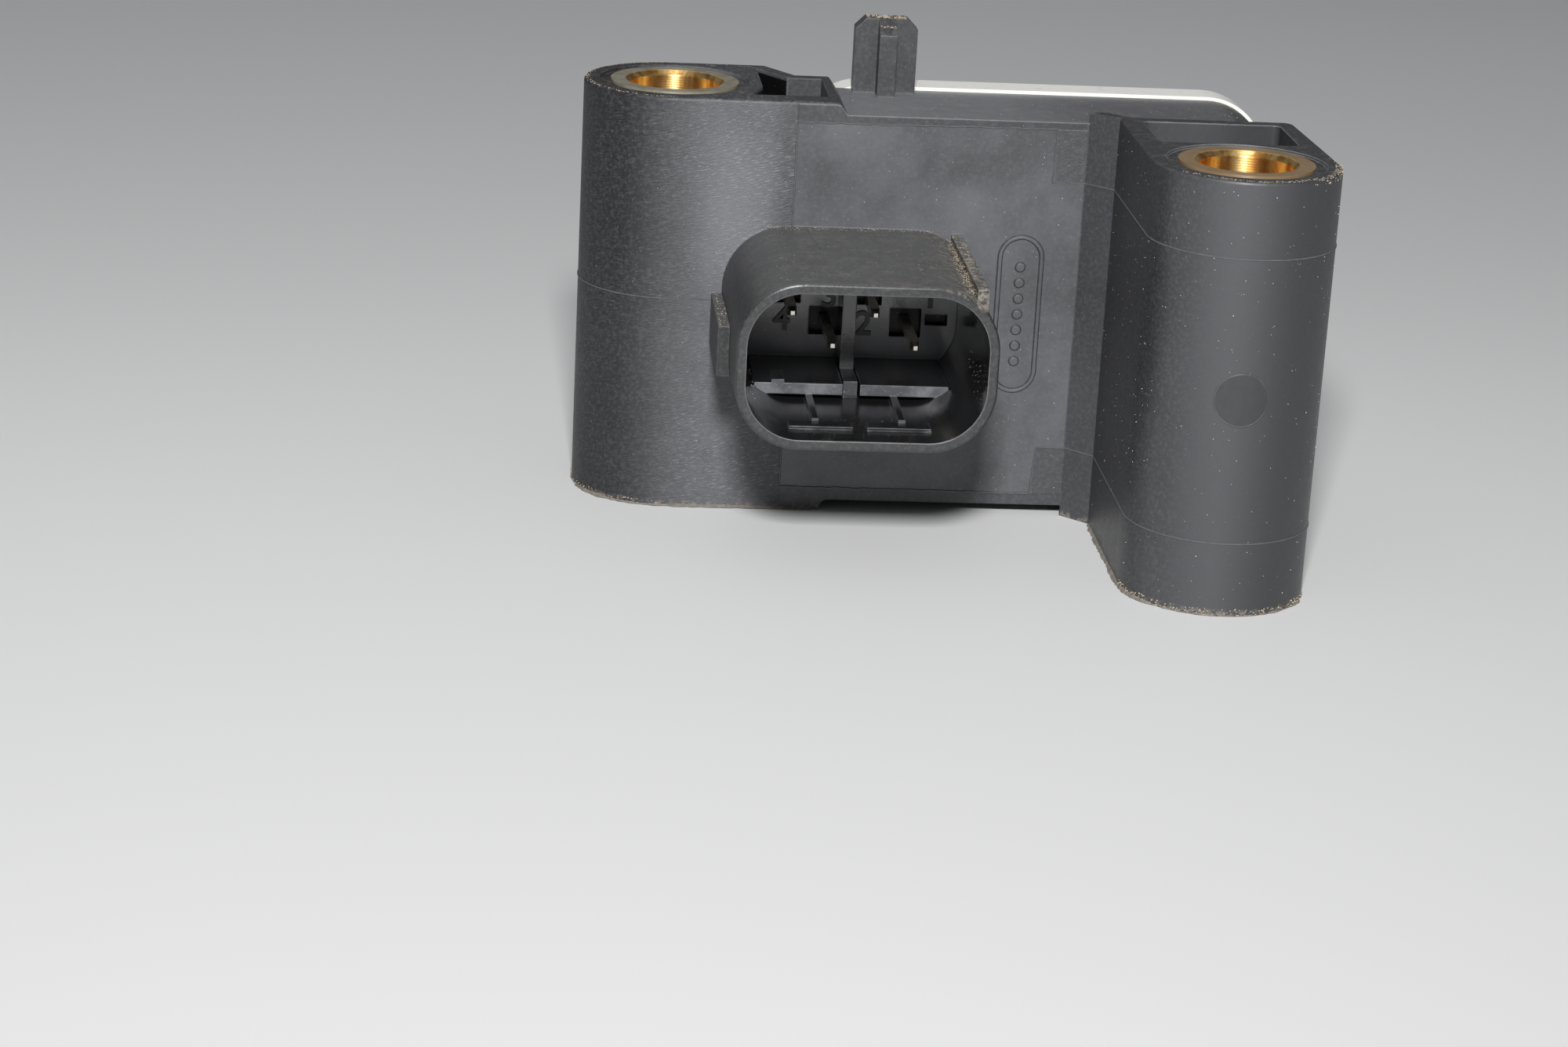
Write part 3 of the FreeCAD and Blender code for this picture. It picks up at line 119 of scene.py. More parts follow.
class Graph:
    """A material's node tree with short ways to add nodes."""

    def __init__(self, name):
        self.material = bpy.data.materials.new(name)
        self.material.use_nodes = True
        self.tree = self.material.node_tree
        self.shader = self.tree.nodes["Principled BSDF"]
        coordinates = self.tree.nodes.new("ShaderNodeTexCoord")
        scale = self.tree.nodes.new("ShaderNodeVectorMath")
        scale.operation = "SCALE"
        scale.inputs["Scale"].default_value = 1.0 / MM
        self.tree.links.new(coordinates.outputs["Object"], scale.inputs[0])
        self.place = scale.outputs[0]
        split = self.tree.nodes.new("ShaderNodeSeparateXYZ")
        self.tree.links.new(self.place, split.inputs[0])
        self.x, self.y, self.z = split.outputs
        geometry = self.tree.nodes.new("ShaderNodeNewGeometry")
        self.normal = geometry.outputs["Normal"]
        facing = self.tree.nodes.new("ShaderNodeSeparateXYZ")
        self.tree.links.new(self.normal, facing.inputs[0])
        self.facing_x, self.facing_y, self.facing_z = facing.outputs

    def put(self, socket, value):
        """Link a socket to another, or set its number."""
        if isinstance(value, bpy.types.NodeSocket):
            self.tree.links.new(value, socket)
        else:
            socket.default_value = value

    def math(self, operation, a, b=0.0, clamp=False):
        """One sum of two values."""
        node = self.tree.nodes.new("ShaderNodeMath")
        node.operation = operation
        node.use_clamp = clamp
        self.put(node.inputs[0], a)
        self.put(node.inputs[1], b)
        return node.outputs[0]

    def product(self, first, *others):
        """All the values multiplied."""
        for other in others:
            first = self.math("MULTIPLY", first, other)
        return first

    def inverse(self, value):
        """One less the value."""
        return self.math("SUBTRACT", 1.0, value)

    def length(self, a, b):
        """Length of the slant between two sides."""
        return self.math("SQRT", self.math("ADD", self.product(a, a), self.product(b, b)))

    def beyond(self, value, middle, half):
        """How far a coordinate lies outside a stretch about its middle."""
        distance = self.math("ABSOLUTE", self.math("SUBTRACT", value, middle))
        return self.math("MAXIMUM", self.math("SUBTRACT", distance, half), 0.0)

    def ramp(self, value, low, high, start=0.0, end=1.0):
        """A smooth step from start to end as value goes from low to high."""
        node = self.tree.nodes.new("ShaderNodeMapRange")
        node.interpolation_type = "SMOOTHSTEP"
        self.put(node.inputs["Value"], value)
        node.inputs["From Min"].default_value = low
        node.inputs["From Max"].default_value = high
        node.inputs["To Min"].default_value = start
        node.inputs["To Max"].default_value = end
        return node.outputs[0]

    def band(self, value, low, high, soft):
        """One between low and high, nought outside."""
        rise = self.ramp(value, low - soft, low + soft)
        fall = self.ramp(value, high - soft, high + soft, 1.0, 0.0)
        return self.product(rise, fall)

    def noise(self, scale, detail=3.0, stretch=None, roughness=0.55, lean=0.0):
        """Noise with scale features in a millimetre, stretched along axes that lean about Y."""
        node = self.tree.nodes.new("ShaderNodeTexNoise")
        node.inputs["Scale"].default_value = scale
        node.inputs["Detail"].default_value = detail
        node.inputs["Roughness"].default_value = roughness
        place = self.place
        if lean:
            rotate = self.tree.nodes.new("ShaderNodeVectorRotate")
            rotate.rotation_type = "Y_AXIS"
            rotate.inputs["Angle"].default_value = lean
            self.tree.links.new(place, rotate.inputs["Vector"])
            place = rotate.outputs[0]
        if stretch:
            mapping = self.tree.nodes.new("ShaderNodeMapping")
            mapping.inputs["Scale"].default_value = stretch
            self.tree.links.new(place, mapping.inputs["Vector"])
            place = mapping.outputs[0]
        self.tree.links.new(place, node.inputs["Vector"])
        return node.outputs["Fac"]

    def mix(self, factor, a, b):
        """A colour between a and b."""
        node = self.tree.nodes.new("ShaderNodeMix")
        node.data_type = "RGBA"
        self.put(node.inputs["Factor"], factor)
        self.put(node.inputs[6], a)
        self.put(node.inputs[7], b)
        return node.outputs[2]

    def between(self, factor, tones, tint=1.10):
        """A grey between two tones."""
        return self.mix(factor, grey(tones[0], tint), grey(tones[1], tint))

    def bump(self, height, distance, strength=1.0, normal=None):
        """Surface relief of that height in millimetres."""
        node = self.tree.nodes.new("ShaderNodeBump")
        node.inputs["Strength"].default_value = strength
        node.inputs["Distance"].default_value = distance * MM
        self.put(node.inputs["Height"], height)
        if normal is not None:
            self.tree.links.new(normal, node.inputs["Normal"])
        return node.outputs["Normal"]

    def soft_edges(self, radius):
        """Normals that round the sharp edges by a radius in millimetres."""
        node = self.tree.nodes.new("ShaderNodeBevel")
        node.samples = 4
        node.inputs["Radius"].default_value = radius * MM
        return node.outputs["Normal"]

    def edges(self, soft):
        """One along the edges that the softened normals round, nought on flat faces."""
        node = self.tree.nodes.new("ShaderNodeVectorMath")
        node.operation = "DOT_PRODUCT"
        self.tree.links.new(soft, node.inputs[0])
        self.tree.links.new(self.normal, node.inputs[1])
        return self.ramp(node.outputs["Value"], 0.985, 0.84)

    def finish(self, color, roughness, normal=None, metallic=0.0, specular=0.5):
        """Join the values to the shader and give the material."""
        self.put(self.shader.inputs["Base Color"], color)
        self.put(self.shader.inputs["Roughness"], roughness)
        self.put(self.shader.inputs["Metallic"], metallic)
        self.put(self.shader.inputs["Specular IOR Level"], specular)
        if normal is not None:
            self.tree.links.new(normal, self.shader.inputs["Normal"])
        return self.material


def grey(level, tint=1.10):
    """A grey of that linear level, bluish by the tint."""
    return (level, level * 1.015, level * tint, 1.0)


def housing_plastic():
    """Black glass-filled plastic: hazy slide panel, coarse boss, glossy socket, with painted light
    and shade.
    """
    g = Graph("housing_plastic")

    # Areas of the moulding, as masks
    facing_front = g.ramp(g.facing_y, -0.8, -0.95)
    upward = g.ramp(g.facing_z, 0.45, 0.95)
    front = g.product(g.band(g.y, FRONT_Y - 0.25, FRONT_Y + 0.25, 0.05), facing_front)
    panel = g.product(g.band(g.x, *PANEL_X, 0.03), g.band(g.z, *PANEL_Z, 0.03), front)
    left = g.ramp(g.x, PANEL_X[0] - 0.1, PANEL_X[0] + 0.1, 1.0, 0.0)
    left = g.product(left, g.ramp(g.y, -6.9, -6.7))
    flank = g.product(left, g.ramp(g.x, -5.0, 2.0, 1.0, 0.0))
    brushed_and_lit = g.product(g.ramp(g.x, -4.0, 4.0), g.ramp(g.x, 6.0, 8.2, 1.0, 0.55), left)
    painted_highlight_patch = g.product(g.band(g.z, 17.0, 26.0, 5.0), g.band(g.x, 2.0, 6.5, 2.0), brushed_and_lit)
    upper_notch = g.band(g.z, UPPER_SEAM_Z, PANEL_Z[1], 0.05)
    lower_notch = g.band(g.z, 1.6, LOWER_SEAM_Z, 0.05)
    notch = g.math("ADD", upper_notch, lower_notch)
    notch = g.product(notch, g.band(g.x, NOTCH_X, PANEL_X[1], 0.05), front)
    beside_x = g.beyond(g.x, SHROUD_MIDDLE[0], SHROUD_STRAIGHT[0])
    beside_z = g.beyond(g.z, SHROUD_MIDDLE[1], SHROUD_STRAIGHT[1])
    off_middle = g.length(beside_x, beside_z)
    socket = g.product(g.ramp(off_middle, 4.05, 4.2, 1.0, 0.0), g.band(g.y, -22.2, -4.3, 0.05))
    outside = g.inverse(socket)
    deep = g.product(socket, g.ramp(g.y, -5.42, -5.36))
    near_shroud = g.ramp(off_middle, 6.0, 6.2, 1.0, 0.0)
    shroud = g.product(g.ramp(off_middle, 4.2, 4.3), near_shroud)
    shroud = g.product(shroud, g.ramp(g.y, -6.7, -6.6, 1.0, 0.0))
    mouth = g.product(g.ramp(g.y, -21.85, -22.0), near_shroud)
    rim = g.product(mouth, facing_front)
    shaded_arm_side = g.product(g.ramp(g.facing_x, -0.80, -0.95), g.ramp(g.x, 30.0, 30.5))
    boss_front = g.product(g.ramp(g.x, 32.0, 35.0), g.ramp(g.facing_y, -0.1, -0.9))
    tab = g.product(g.ramp(g.z, 29.2, 29.6), g.band(g.x, 12.5, 18.0, 0.1))
    body_top = g.product(g.ramp(g.z, 29.0, 29.1), g.ramp(g.z, 29.3, 29.5, 1.0, 0.0))
    body_top = g.product(body_top, g.ramp(g.x, 11.6, 12.0), upward)
    land = g.product(upward, g.ramp(g.z, 29.6, 29.75), g.inverse(tab))
    core = g.product(g.band(g.x, 5.5, 8.2, 0.05), g.band(g.y, -4.6, 5.2, 0.05))
    core = g.product(core, g.band(g.z, 15.0, 29.75, 0.05))

    # Patterns, from broad clouds to fine grain
    stains = g.ramp(g.noise(0.25, 4.0), 0.30, 0.70)
    cloud = g.noise(0.16, 4.0)
    haze = g.noise(0.34, 5.0, None, 0.6)
    mottle = g.noise(1.1, 5.0)
    grain = g.noise(7.0, 4.0)
    flecks = g.noise(4.2, 5.0, (0.40, 0.40, 2.8), 0.7, 0.22)
    sparkle = g.ramp(g.noise(6.5, 2.0), 0.70, 0.78)
    # Where the painted glints gather, more towards the right
    rubbed = g.ramp(g.noise(0.13, 3.0), 0.38, 0.60, 0.3, 1.0)
    rubbed = g.product(g.ramp(g.x, -4.0, 5.0, 0.25, 1.0), rubbed)
    painted_glint = g.product(g.ramp(flecks, 0.50, 0.74), left, rubbed)

    # Tone of the outer faces
    tone = g.between(cloud, HOUSING_TONES)
    # Painted shade on the left boss's flank, a little lighter towards the foot
    shaded_flank_upper = g.between(cloud, SHADED_FLANK_TONES)
    shaded_flank_lower = g.between(cloud, SHADED_FLANK_FOOT_TONES)
    tone = g.mix(left, tone, g.mix(g.ramp(g.z, 8.0, 22.0), shaded_flank_lower, shaded_flank_upper))
    # Coarse brushed zone, lightened by a painted highlight
    tone = g.mix(brushed_and_lit, tone, g.between(haze, BRUSHED_AND_LIT_TONES))
    # Painted highlight patch on the brushed zone
    tone = g.mix(g.product(painted_highlight_patch, 0.6), tone, grey(HIGHLIGHT_PATCH_TONE))
    # Painted shade on the arm's left side
    tone = g.mix(g.product(shaded_arm_side, 0.6), tone, grey(ARM_SIDE_SHADE_TONE))
    # Painted light on the right boss, lighter towards the flash
    tone = g.mix(boss_front, tone, g.between(g.ramp(g.x, 40.5, 36.0), BOSS_LIT_TONES))
    tone = g.mix(g.product(panel, 0.95), tone, g.between(g.ramp(cloud, 0.25, 0.75), PANEL_TONES))
    stain = g.product(g.band(g.z, 24.4, 26.9, 1.3), g.band(g.x, 12.0, 23.0, 3.0))
    tone = g.mix(g.product(stain, panel, stains, 0.8), tone, grey(STAIN_TONE))
    tone = g.mix(g.product(notch, 0.8), tone, grey(NOTCH_TONE))
    film = g.between(haze, DUSTY_TONES, 1.0)
    # Painted shade on the shroud's sides; dust film on its top
    tone = g.mix(shroud, tone, g.mix(upward, g.between(haze, SHADED_SHROUD_TONES, 1.03), film))
    top_right = g.ramp(g.x, 22.0, 32.0, 0.0, 0.7)
    top = g.mix(top_right, g.between(mottle, TOP_TONES), grey(TOP_RIGHT_TONE))
    tone = g.mix(body_top, tone, top)
    # Painted shade on the tops of the bosses
    tone = g.mix(g.product(land, 0.75), tone, grey(SHADED_LAND_TONE))
    tab_film = g.product(tab, g.ramp(mottle, 0.50, 0.72, 0.0, 0.35))
    tone = g.mix(tab_film, tone, grey(TAB_FILM_TONE, 1.0))
    tone = g.mix(g.product(tab, 0.35), tone, grey(TAB_TONE))
    # Painted glints
    tone = g.mix(g.product(painted_glint, 0.65), tone, grey(PAINTED_GLINT_TONE))

    # Tone inside the socket, with painted light on its front faces and painted shade elsewhere, and
    # on the shroud's rim
    lit = g.product(g.ramp(g.z, 10.1, 10.3), facing_front)
    # Painted light on the front faces, painted shade on the sides and below the tongues
    walls = g.mix(lit, grey(SOCKET_SHADE_TONE), grey(SOCKET_LIT_TONE))
    tongues = g.product(g.band(g.z, 10.3, 11.4, 0.05), g.band(g.y, -13.2, -12.2, 0.1))
    # Painted highlight on the tongues' front edges
    gleam = g.product(tongues, lit, g.ramp(haze, 0.40, 0.62, 0.15, 0.9))
    walls = g.mix(gleam, walls, grey(TONGUE_HIGHLIGHT_TONE))
    # Painted shade on the upper rib, out of the flash
    rib = g.product(g.band(g.x, 12.0, 13.4, 0.05), g.ramp(g.z, 11.6, 12.0))
    walls = g.mix(g.product(rib, 0.75), walls, grey(RIB_SHADE_TONE))
    # Painted light on the socket floor
    back = g.product(g.ramp(g.y, -7.0, -6.0), facing_front)
    walls = g.mix(back, walls, grey(SOCKET_BOUNCE_LIT_TONE))
    # Painted shade on the socket's upward faces
    tone = g.mix(socket, tone, g.mix(upward, walls, grey(SOCKET_UP_SHADE_TONE)))
    tone = g.mix(rim, tone, grey(RIM_TONE, 1.03))

    # Painted highlights along the edges, partly wear; painted shade in the holes and the core-out;
    # fine speckle
    soft = g.soft_edges(0.16)
    top_edge = g.product(g.ramp(g.z, 28.9, 29.1), g.ramp(g.y, -5.0, -5.6))
    # Painted highlight along the top front edges and the shroud's mouth
    painted_edge_highlight = g.product(g.math("MAXIMUM", top_edge, mouth), 0.60)
    wear_and_highlight = g.math("ADD", g.ramp(mottle, 0.35, 0.65, 0.06, 0.34), painted_edge_highlight)
    # Edges lightened: painted highlight, partly wear
    tone = g.mix(g.product(g.edges(soft), wear_and_highlight), tone, grey(EDGE_HIGHLIGHT_TONE, 1.02))
    # Painted shade in the deep pockets
    tone = g.mix(deep, tone, grey(HOLE_SHADE_TONE))
    # Painted shade in the core-out recess
    tone = g.mix(core, tone, grey(CORE_SHADE_TONE))
    plain = g.math("SUBTRACT", outside, g.product(boss_front, 0.85), True)
    fine = g.ramp(g.noise(3.6, 4.0, None, 0.7), 0.40, 0.75, 0.0, 0.24)
    tone = g.mix(g.product(fine, plain, g.inverse(core)), tone, grey(FINE_TONE))
    specks = g.product(sparkle, g.math("ADD", 0.05, g.product(plain, 0.30)))
    tone = g.mix(specks, tone, grey(SPECK_TONE))

    # Dust that has settled on top, round the feet and beside the fin
    settled = g.product(upward, g.ramp(g.noise(0.9, 6.0, None, 0.7), 0.45, 0.75))
    feet = g.ramp(g.noise(2.2, 5.0), 0.45, 0.62)
    feet = g.product(g.ramp(g.z, 0.05, 0.6, 1.0, 0.0), feet)
    fin_side = g.product(g.ramp(g.x, 17.0, 20.0), shroud, g.ramp(g.z, 18.5, 20.3))
    fin_side = g.product(fin_side, g.ramp(g.noise(2.0, 5.0), 0.42, 0.62))
    dust = g.math("MAXIMUM", g.product(settled, 0.16), g.product(feet, 0.40))
    dust = g.math("MAXIMUM", dust, g.product(fin_side, 0.5))
    dust = g.product(dust, outside)
    tone = g.mix(dust, tone, DUST_COLOR)

    rough = g.math("ADD", 0.38, g.product(mottle, 0.18))
    rough = g.math("SUBTRACT", rough, g.product(socket, 0.30))
    rough = g.math("ADD", rough, g.product(deep, 0.5))
    rough = g.math("SUBTRACT", rough, g.product(mouth, 0.18))
    rough = g.math("SUBTRACT", rough, g.product(painted_glint, 0.14))
    rough = g.math("ADD", rough, g.product(dust, 0.7), True)

    normal = g.bump(grain, 0.012, 0.55, soft)
    coarse = g.math("ADD", g.math("ADD", 0.06, left), g.product(notch, 0.6))
    coarse = g.product(flecks, coarse, outside)
    normal = g.bump(coarse, 0.07, 0.7, normal)
    g.shader.inputs["Coat Weight"].default_value = 0.08
    g.shader.inputs["Coat Roughness"].default_value = 0.24
    gloss = g.math("ADD", 0.46, g.product(socket, 0.45))
    gloss = g.math("SUBTRACT", gloss, g.product(g.math("MAXIMUM", flank, core), 0.26))
    return g.finish(tone, rough, normal, 0.0, gloss)


def bush_brass():
    """Turned brass: dull stained ends, bright streaked bore."""
    g = Graph("bush_brass")
    right = g.ramp(g.x, 15.0, 20.0)
    dx = g.math("SUBTRACT", g.x, g.product(right, RIGHT_BOSS[0]))
    dy = g.math("SUBTRACT", g.y, g.product(right, RIGHT_BOSS[1]))
    radius = g.length(dx, dy)
    end = g.ramp(radius, 3.50, 3.58)
    stain = g.noise(0.9, 5.0)
    dull = g.mix(right, (0.24, 0.225, 0.175, 1.0), (0.235, 0.160, 0.085, 1.0))
    dull = g.mix(g.ramp(stain, 0.40, 0.70, 0.0, 0.6), dull, (0.16, 0.12, 0.07, 1.0))
    streaks = g.ramp(g.noise(1.1, 4.0, (1.0, 1.0, 0.12)), 0.36, 0.62)
    gold = g.mix(streaks, (0.55, 0.27, 0.07, 1.0), (1.0, 0.72, 0.30, 1.0))
    color = g.mix(end, gold, dull)
    rings = g.product(g.math("SINE", g.product(radius, 42.0)), end)
    thread = g.product(g.math("SINE", g.product(g.z, 36.0)), g.inverse(end))
    marks = g.math("ADD", rings, thread)
    rough = g.math("ADD", g.product(end, 0.12), g.product(stain, 0.20))
    rough = g.math("ADD", rough, 0.30)
    metal = g.inverse(g.product(end, 0.85))
    normal = g.bump(marks, 0.004, 0.5, g.soft_edges(0.08))
    normal = g.bump(g.noise(5.0, 3.0), 0.01, 0.4, normal)
    around = g.tree.nodes.new("ShaderNodeTangent")
    around.direction_type = "RADIAL"
    around.axis = "Z"
    g.tree.links.new(around.outputs[0], g.shader.inputs["Tangent"])
    g.shader.inputs["Anisotropic"].default_value = 0.75
    g.shader.inputs["Anisotropic Rotation"].default_value = 0.25
    return g.finish(color, rough, normal, metal)


def cover_plastic():
    """Natural off-white plastic with faint flow marks, painted light on the upward faces and a
    little soil on top.
    """
    g = Graph("cover_plastic")
    flow = g.noise(0.2, 4.0, (1.0, 1.0, 2.2))
    color = g.mix(flow, (0.70, 0.70, 0.66, 1.0), (0.80, 0.79, 0.74, 1.0))
    soil = g.product(g.ramp(g.facing_z, 0.4, 0.9), g.ramp(g.noise(1.5, 5.0), 0.56, 0.72))
    # Painted light on the upward faces
    color = g.mix(g.ramp(g.facing_z, 0.3, 0.9), color, (0.82, 0.81, 0.765, 1.0))
    color = g.mix(g.product(soil, 0.25), color, (0.42, 0.37, 0.29, 1.0))
    normal = g.bump(g.noise(5.0, 4.0), 0.012, 0.5, g.soft_edges(0.1))
    g.shader.inputs["Subsurface Weight"].default_value = 0.08
    g.shader.inputs["Subsurface Radius"].default_value = (0.002, 0.0016, 0.001)
    return g.finish(color, g.math("ADD", 0.38, g.product(flow, 0.16)), normal)


def contact_metal():
    """Tin-plated contacts with fine drawing marks."""
    g = Graph("contact_metal")
    marks = g.noise(3.0, 4.0, (6.0, 0.5, 6.0))
    color = g.mix(marks, (0.62, 0.58, 0.50, 1.0), (0.80, 0.77, 0.70, 1.0))
    rough = g.math("ADD", 0.2, g.product(marks, 0.2))
    return g.finish(color, rough, g.bump(marks, 0.006, 0.5, g.soft_edges(0.05)), 1.0)


def board_laminate():
    """Green solder mask with copper tracks showing through and bare edges."""
    g = Graph("board_laminate")
    winding = g.math("ADD", g.z, g.product(g.noise(0.12, 0.0), 9.0))
    tracks = g.math("ABSOLUTE", g.math("SINE", g.product(winding, 1.6)))
    mask = g.mix(g.ramp(tracks, 0.8, 0.86), (0.012, 0.085, 0.028, 1.0), (0.03, 0.17, 0.05, 1.0))
    edge = g.ramp(g.math("ABSOLUTE", g.facing_y), 0.9, 0.6)
    color = g.mix(edge, mask, (0.36, 0.31, 0.16, 1.0))
    return g.finish(color, 0.3, g.bump(tracks, 0.02, 0.4))


def chip_mould():
    """Moulded chips; whatever reaches past the case near the board is plated lead."""
    g = Graph("chip_mould")
    speck = g.noise(9.0, 3.0)
    color = g.between(speck, (0.018, 0.032))
    low = g.product(g.band(g.y, 0.5, 0.9, 0.02), g.ramp(g.x, 26.0, 27.0))
    color = g.mix(low, color, (0.62, 0.62, 0.6, 1.0))
    rough = g.math("ADD", 0.45, g.product(speck, 0.2))
    return g.finish(color, rough, g.bump(speck, 0.01, 0.5), low)


def capacitor_ceramic():
    """Brown ceramic, finely speckled."""
    g = Graph("capacitor_ceramic")
    speck = g.noise(6.0, 4.0)
    color = g.mix(speck, (0.30, 0.19, 0.10, 1.0), (0.44, 0.31, 0.18, 1.0))
    return g.finish(color, 0.5, g.bump(speck, 0.01, 0.4))


def solder():
    """Bright solder with a slightly uneven skin."""
    g = Graph("solder")
    skin = g.noise(3.0, 4.0)
    color = g.mix(skin, (0.55, 0.55, 0.56, 1.0), (0.76, 0.76, 0.75, 1.0))
    return g.finish(color, 0.26, g.bump(skin, 0.02, 0.4), 1.0)


def dust_grains():
    """Sandy grains, some darker."""
    g = Graph("dust_grains")
    color = g.mix(g.noise(0.8, 2.0), (0.20, 0.165, 0.12, 1.0), (0.50, 0.43, 0.33, 1.0))
    return g.finish(color, 0.9)


def pale_specks():
    """Pale grey lint and grains."""
    g = Graph("pale_specks")
    color = g.mix(g.noise(0.8, 2.0), (0.30, 0.29, 0.27, 1.0), (0.66, 0.65, 0.62, 1.0))
    return g.finish(color, 0.7)


def print_plastic():
    """The dull, slightly darker skin of an ejector's print."""
    g = Graph("ejector_print")
    tone = g.between(g.noise(1.6, 5.0), (0.028, 0.046))
    return g.finish(tone, 0.5, g.bump(g.noise(6.0, 4.0), 0.01, 0.5), 0.0, 0.46)


def digit_plastic():
    """Glossy black of the numbers at the bottom of the socket."""
    g = Graph("digit_plastic")
    tone = g.between(g.noise(4.0, 3.0), (0.006, 0.012))
    return g.finish(tone, 0.3, g.bump(g.noise(8.0, 3.0), 0.006, 0.4))


def seam_highlight_plastic():
    """Paler plastic on the fine lines left by the mould, painted light against the shade of their
    lower sides.
    """
    g = Graph("seam_highlight_plastic")
    # Paler tone: painted light on the raised lines
    tone = g.between(g.noise(2.0, 4.0), (0.045, 0.12))
    return g.finish(tone, 0.5, g.bump(g.noise(8.0, 3.0), 0.008, 0.5))


def worn_edge():
    """Thin flash rubbed pale, with dirt in it."""
    g = Graph("worn_edge")
    tone = g.mix(g.noise(3.0, 4.0), grey(0.06), (0.30, 0.27, 0.22, 1.0))
    return g.finish(tone, 0.75, g.bump(g.noise(8.0, 3.0), 0.01, 0.5))


SLOTS = {
    "housing_plastic": housing_plastic(),
    "bush_brass": bush_brass(),
    "cover_plastic": cover_plastic(),
    "contact_metal": contact_metal(),
    "board_laminate": board_laminate(),
    "chip_mould": chip_mould(),
    "capacitor_ceramic": capacitor_ceramic(),
    "solder": solder(),
}
DUST = dust_grains()
SPECKS = pale_specks()
PRINT = print_plastic()
DIGITS = digit_plastic()
SEAM_HIGHLIGHT = seam_highlight_plastic()
WORN = worn_edge()

for row in frame["record"]["subparts"]:
    node = frame["nodes"][row["node"]]
    node.data.materials.clear()
    node.data.materials.append(SLOTS[row["material_slot"]])


# Geometry helpers

def add_piece(name, points, faces, material, slot="housing_plastic", smooth=False):
    """A mesh given in millimetres that belongs to the part."""
    mesh = bpy.data.meshes.new(name)
    mesh.from_pydata([tuple(c * MM for c in p) for p in points], [], faces)
    mesh.update()
    mesh.materials.append(material)
    if smooth:
        mesh.polygons.foreach_set("use_smooth", [True] * len(mesh.polygons))
    piece = bpy.data.objects.new(name, mesh)
    bpy.context.scene.collection.objects.link(piece)
    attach(piece, "root")
    return piece


def strip(path, width, height, closed=False):
    """Points and faces of a raised line along (point, normal) pairs on a surface."""
    places = [Vector(p) for p, n in path]
    normals = [Vector(n).normalized() for p, n in path]
    count = len(path)
    points = []
    for i in range(count):
        before = places[i - 1] if closed or i > 0 else places[i]
        after = places[(i + 1) % count] if closed or i < count - 1 else places[i]
        along = (after - before).normalized()
        across = normals[i].cross(along).normalized()
        for offset, lift in ((-1.0, -0.02), (-0.45, height), (0.45, height), (1.0, -0.02)):
            points.append(tuple(places[i] + across * (offset * width / 2) + normals[i] * lift))
    faces = []
    for i in range(count if closed else count - 1):
        j = (i + 1) % count
        for k in range(3):
            faces.append((4 * i + k, 4 * i + k + 1, 4 * j + k + 1, 4 * j + k))
    return points, faces


def join(parts):
    """Several (points, faces) as one."""
    points, faces = [], []
    for more_points, more_faces in parts:
        start = len(points)
        points.extend(more_points)
        faces.extend(tuple(i + start for i in face) for face in more_faces)
    return points, faces


def straight(start, end, normal, step=0.5, waver=0.0, dice=None):
    """Evenly spaced (point, normal) pairs on a straight line, wavering a little."""
    a, b = Vector(start), Vector(end)
    count = max(2, int((b - a).length / step))
    across = Vector(normal).cross(b - a).normalized()
    line = []
    for i in range(count + 1):
        shift = dice.uniform(-waver, waver) if dice and 0 < i < count else 0.0
        line.append((tuple(a.lerp(b, i / count) + across * shift), normal))
    return line


def round_arm(z, start_x):
    """From the front face over the gusset and round the arm and its boss, at one height."""
    cx, cy = RIGHT_BOSS
    slant = (-math.sqrt(0.5), -math.sqrt(0.5), 0.0)
    path = straight((start_x, FRONT_Y, z), (GUSSET[0][0], FRONT_Y, z), (0, -1, 0))
    path += straight((*GUSSET[0], z), (*GUSSET[1], z), slant)[1:]
    path += straight((*GUSSET[1], z), (ARM_LEFT, cy, z), (-1, 0, 0))[1:]
    for i in range(1, 61):
        angle = math.pi + math.pi * i / 60
        outward = (math.cos(angle), math.sin(angle), 0.0)
        path.append(((cx + RIGHT_BOSS_R * outward[0], cy + RIGHT_BOSS_R * outward[1], z), outward))
    path += straight((cx + RIGHT_BOSS_R, cy, z), (*ARM_RIGHT_BACK, z), (1, 0, 0))[1:]
    return path


def round_left_boss(z, end_x):
    """From the left boss's back round to the front face, at one height."""
    path = []
    for i in range(61):
        angle = math.pi / 2 + math.pi * i / 60
        outward = (math.cos(angle), math.sin(angle), 0.0)
        path.append(((LEFT_BOSS_R * outward[0], LEFT_BOSS_R * outward[1], z), outward))
    return path + straight((0, FRONT_Y, z), (end_x, FRONT_Y, z), (0, -1, 0))[1:]


def witness_lines():
    """Fine raised lines where the mould's parts met."""
    dice = random.Random(11)
    face = (0, -1, 0)
    waver = 0.035
    side = PANEL_X[0]

    def on_face(*corners):
        path = []
        for (x0, z0), (x1, z1) in zip(corners, corners[1:]):
            path += straight((x0, FRONT_Y, z0), (x1, FRONT_Y, z1), face, 0.25, waver, dice)
        return path

    lines = [
        strip(round_left_boss(LEFT_SEAM_Z, 3.4), 0.12, 0.06),
        strip(on_face((26.85, 28.65), (side, 28.55), (side, 20.6)), 0.15, 0.08),
        strip(on_face((side, 9.5), (side, 1.7), (26.7, 1.6), (27.0, LOWER_SEAM_Z)), 0.16, 0.09),
        strip(on_face((26.85, 28.65), (26.75, UPPER_SEAM_Z)), 0.15, 0.08),
        strip(round_arm(UPPER_SEAM_Z, 26.75), 0.14, 0.05),
        strip(round_arm(LOWER_SEAM_Z, 27.0), 0.14, 0.05),
        strip(straight((9.3, -6.6, 21.01), (9.9, -12.5, 20.96), (0, 0, 1), 0.25, 0.03, dice),
              0.12, 0.05),
    ]
    return join(lines)


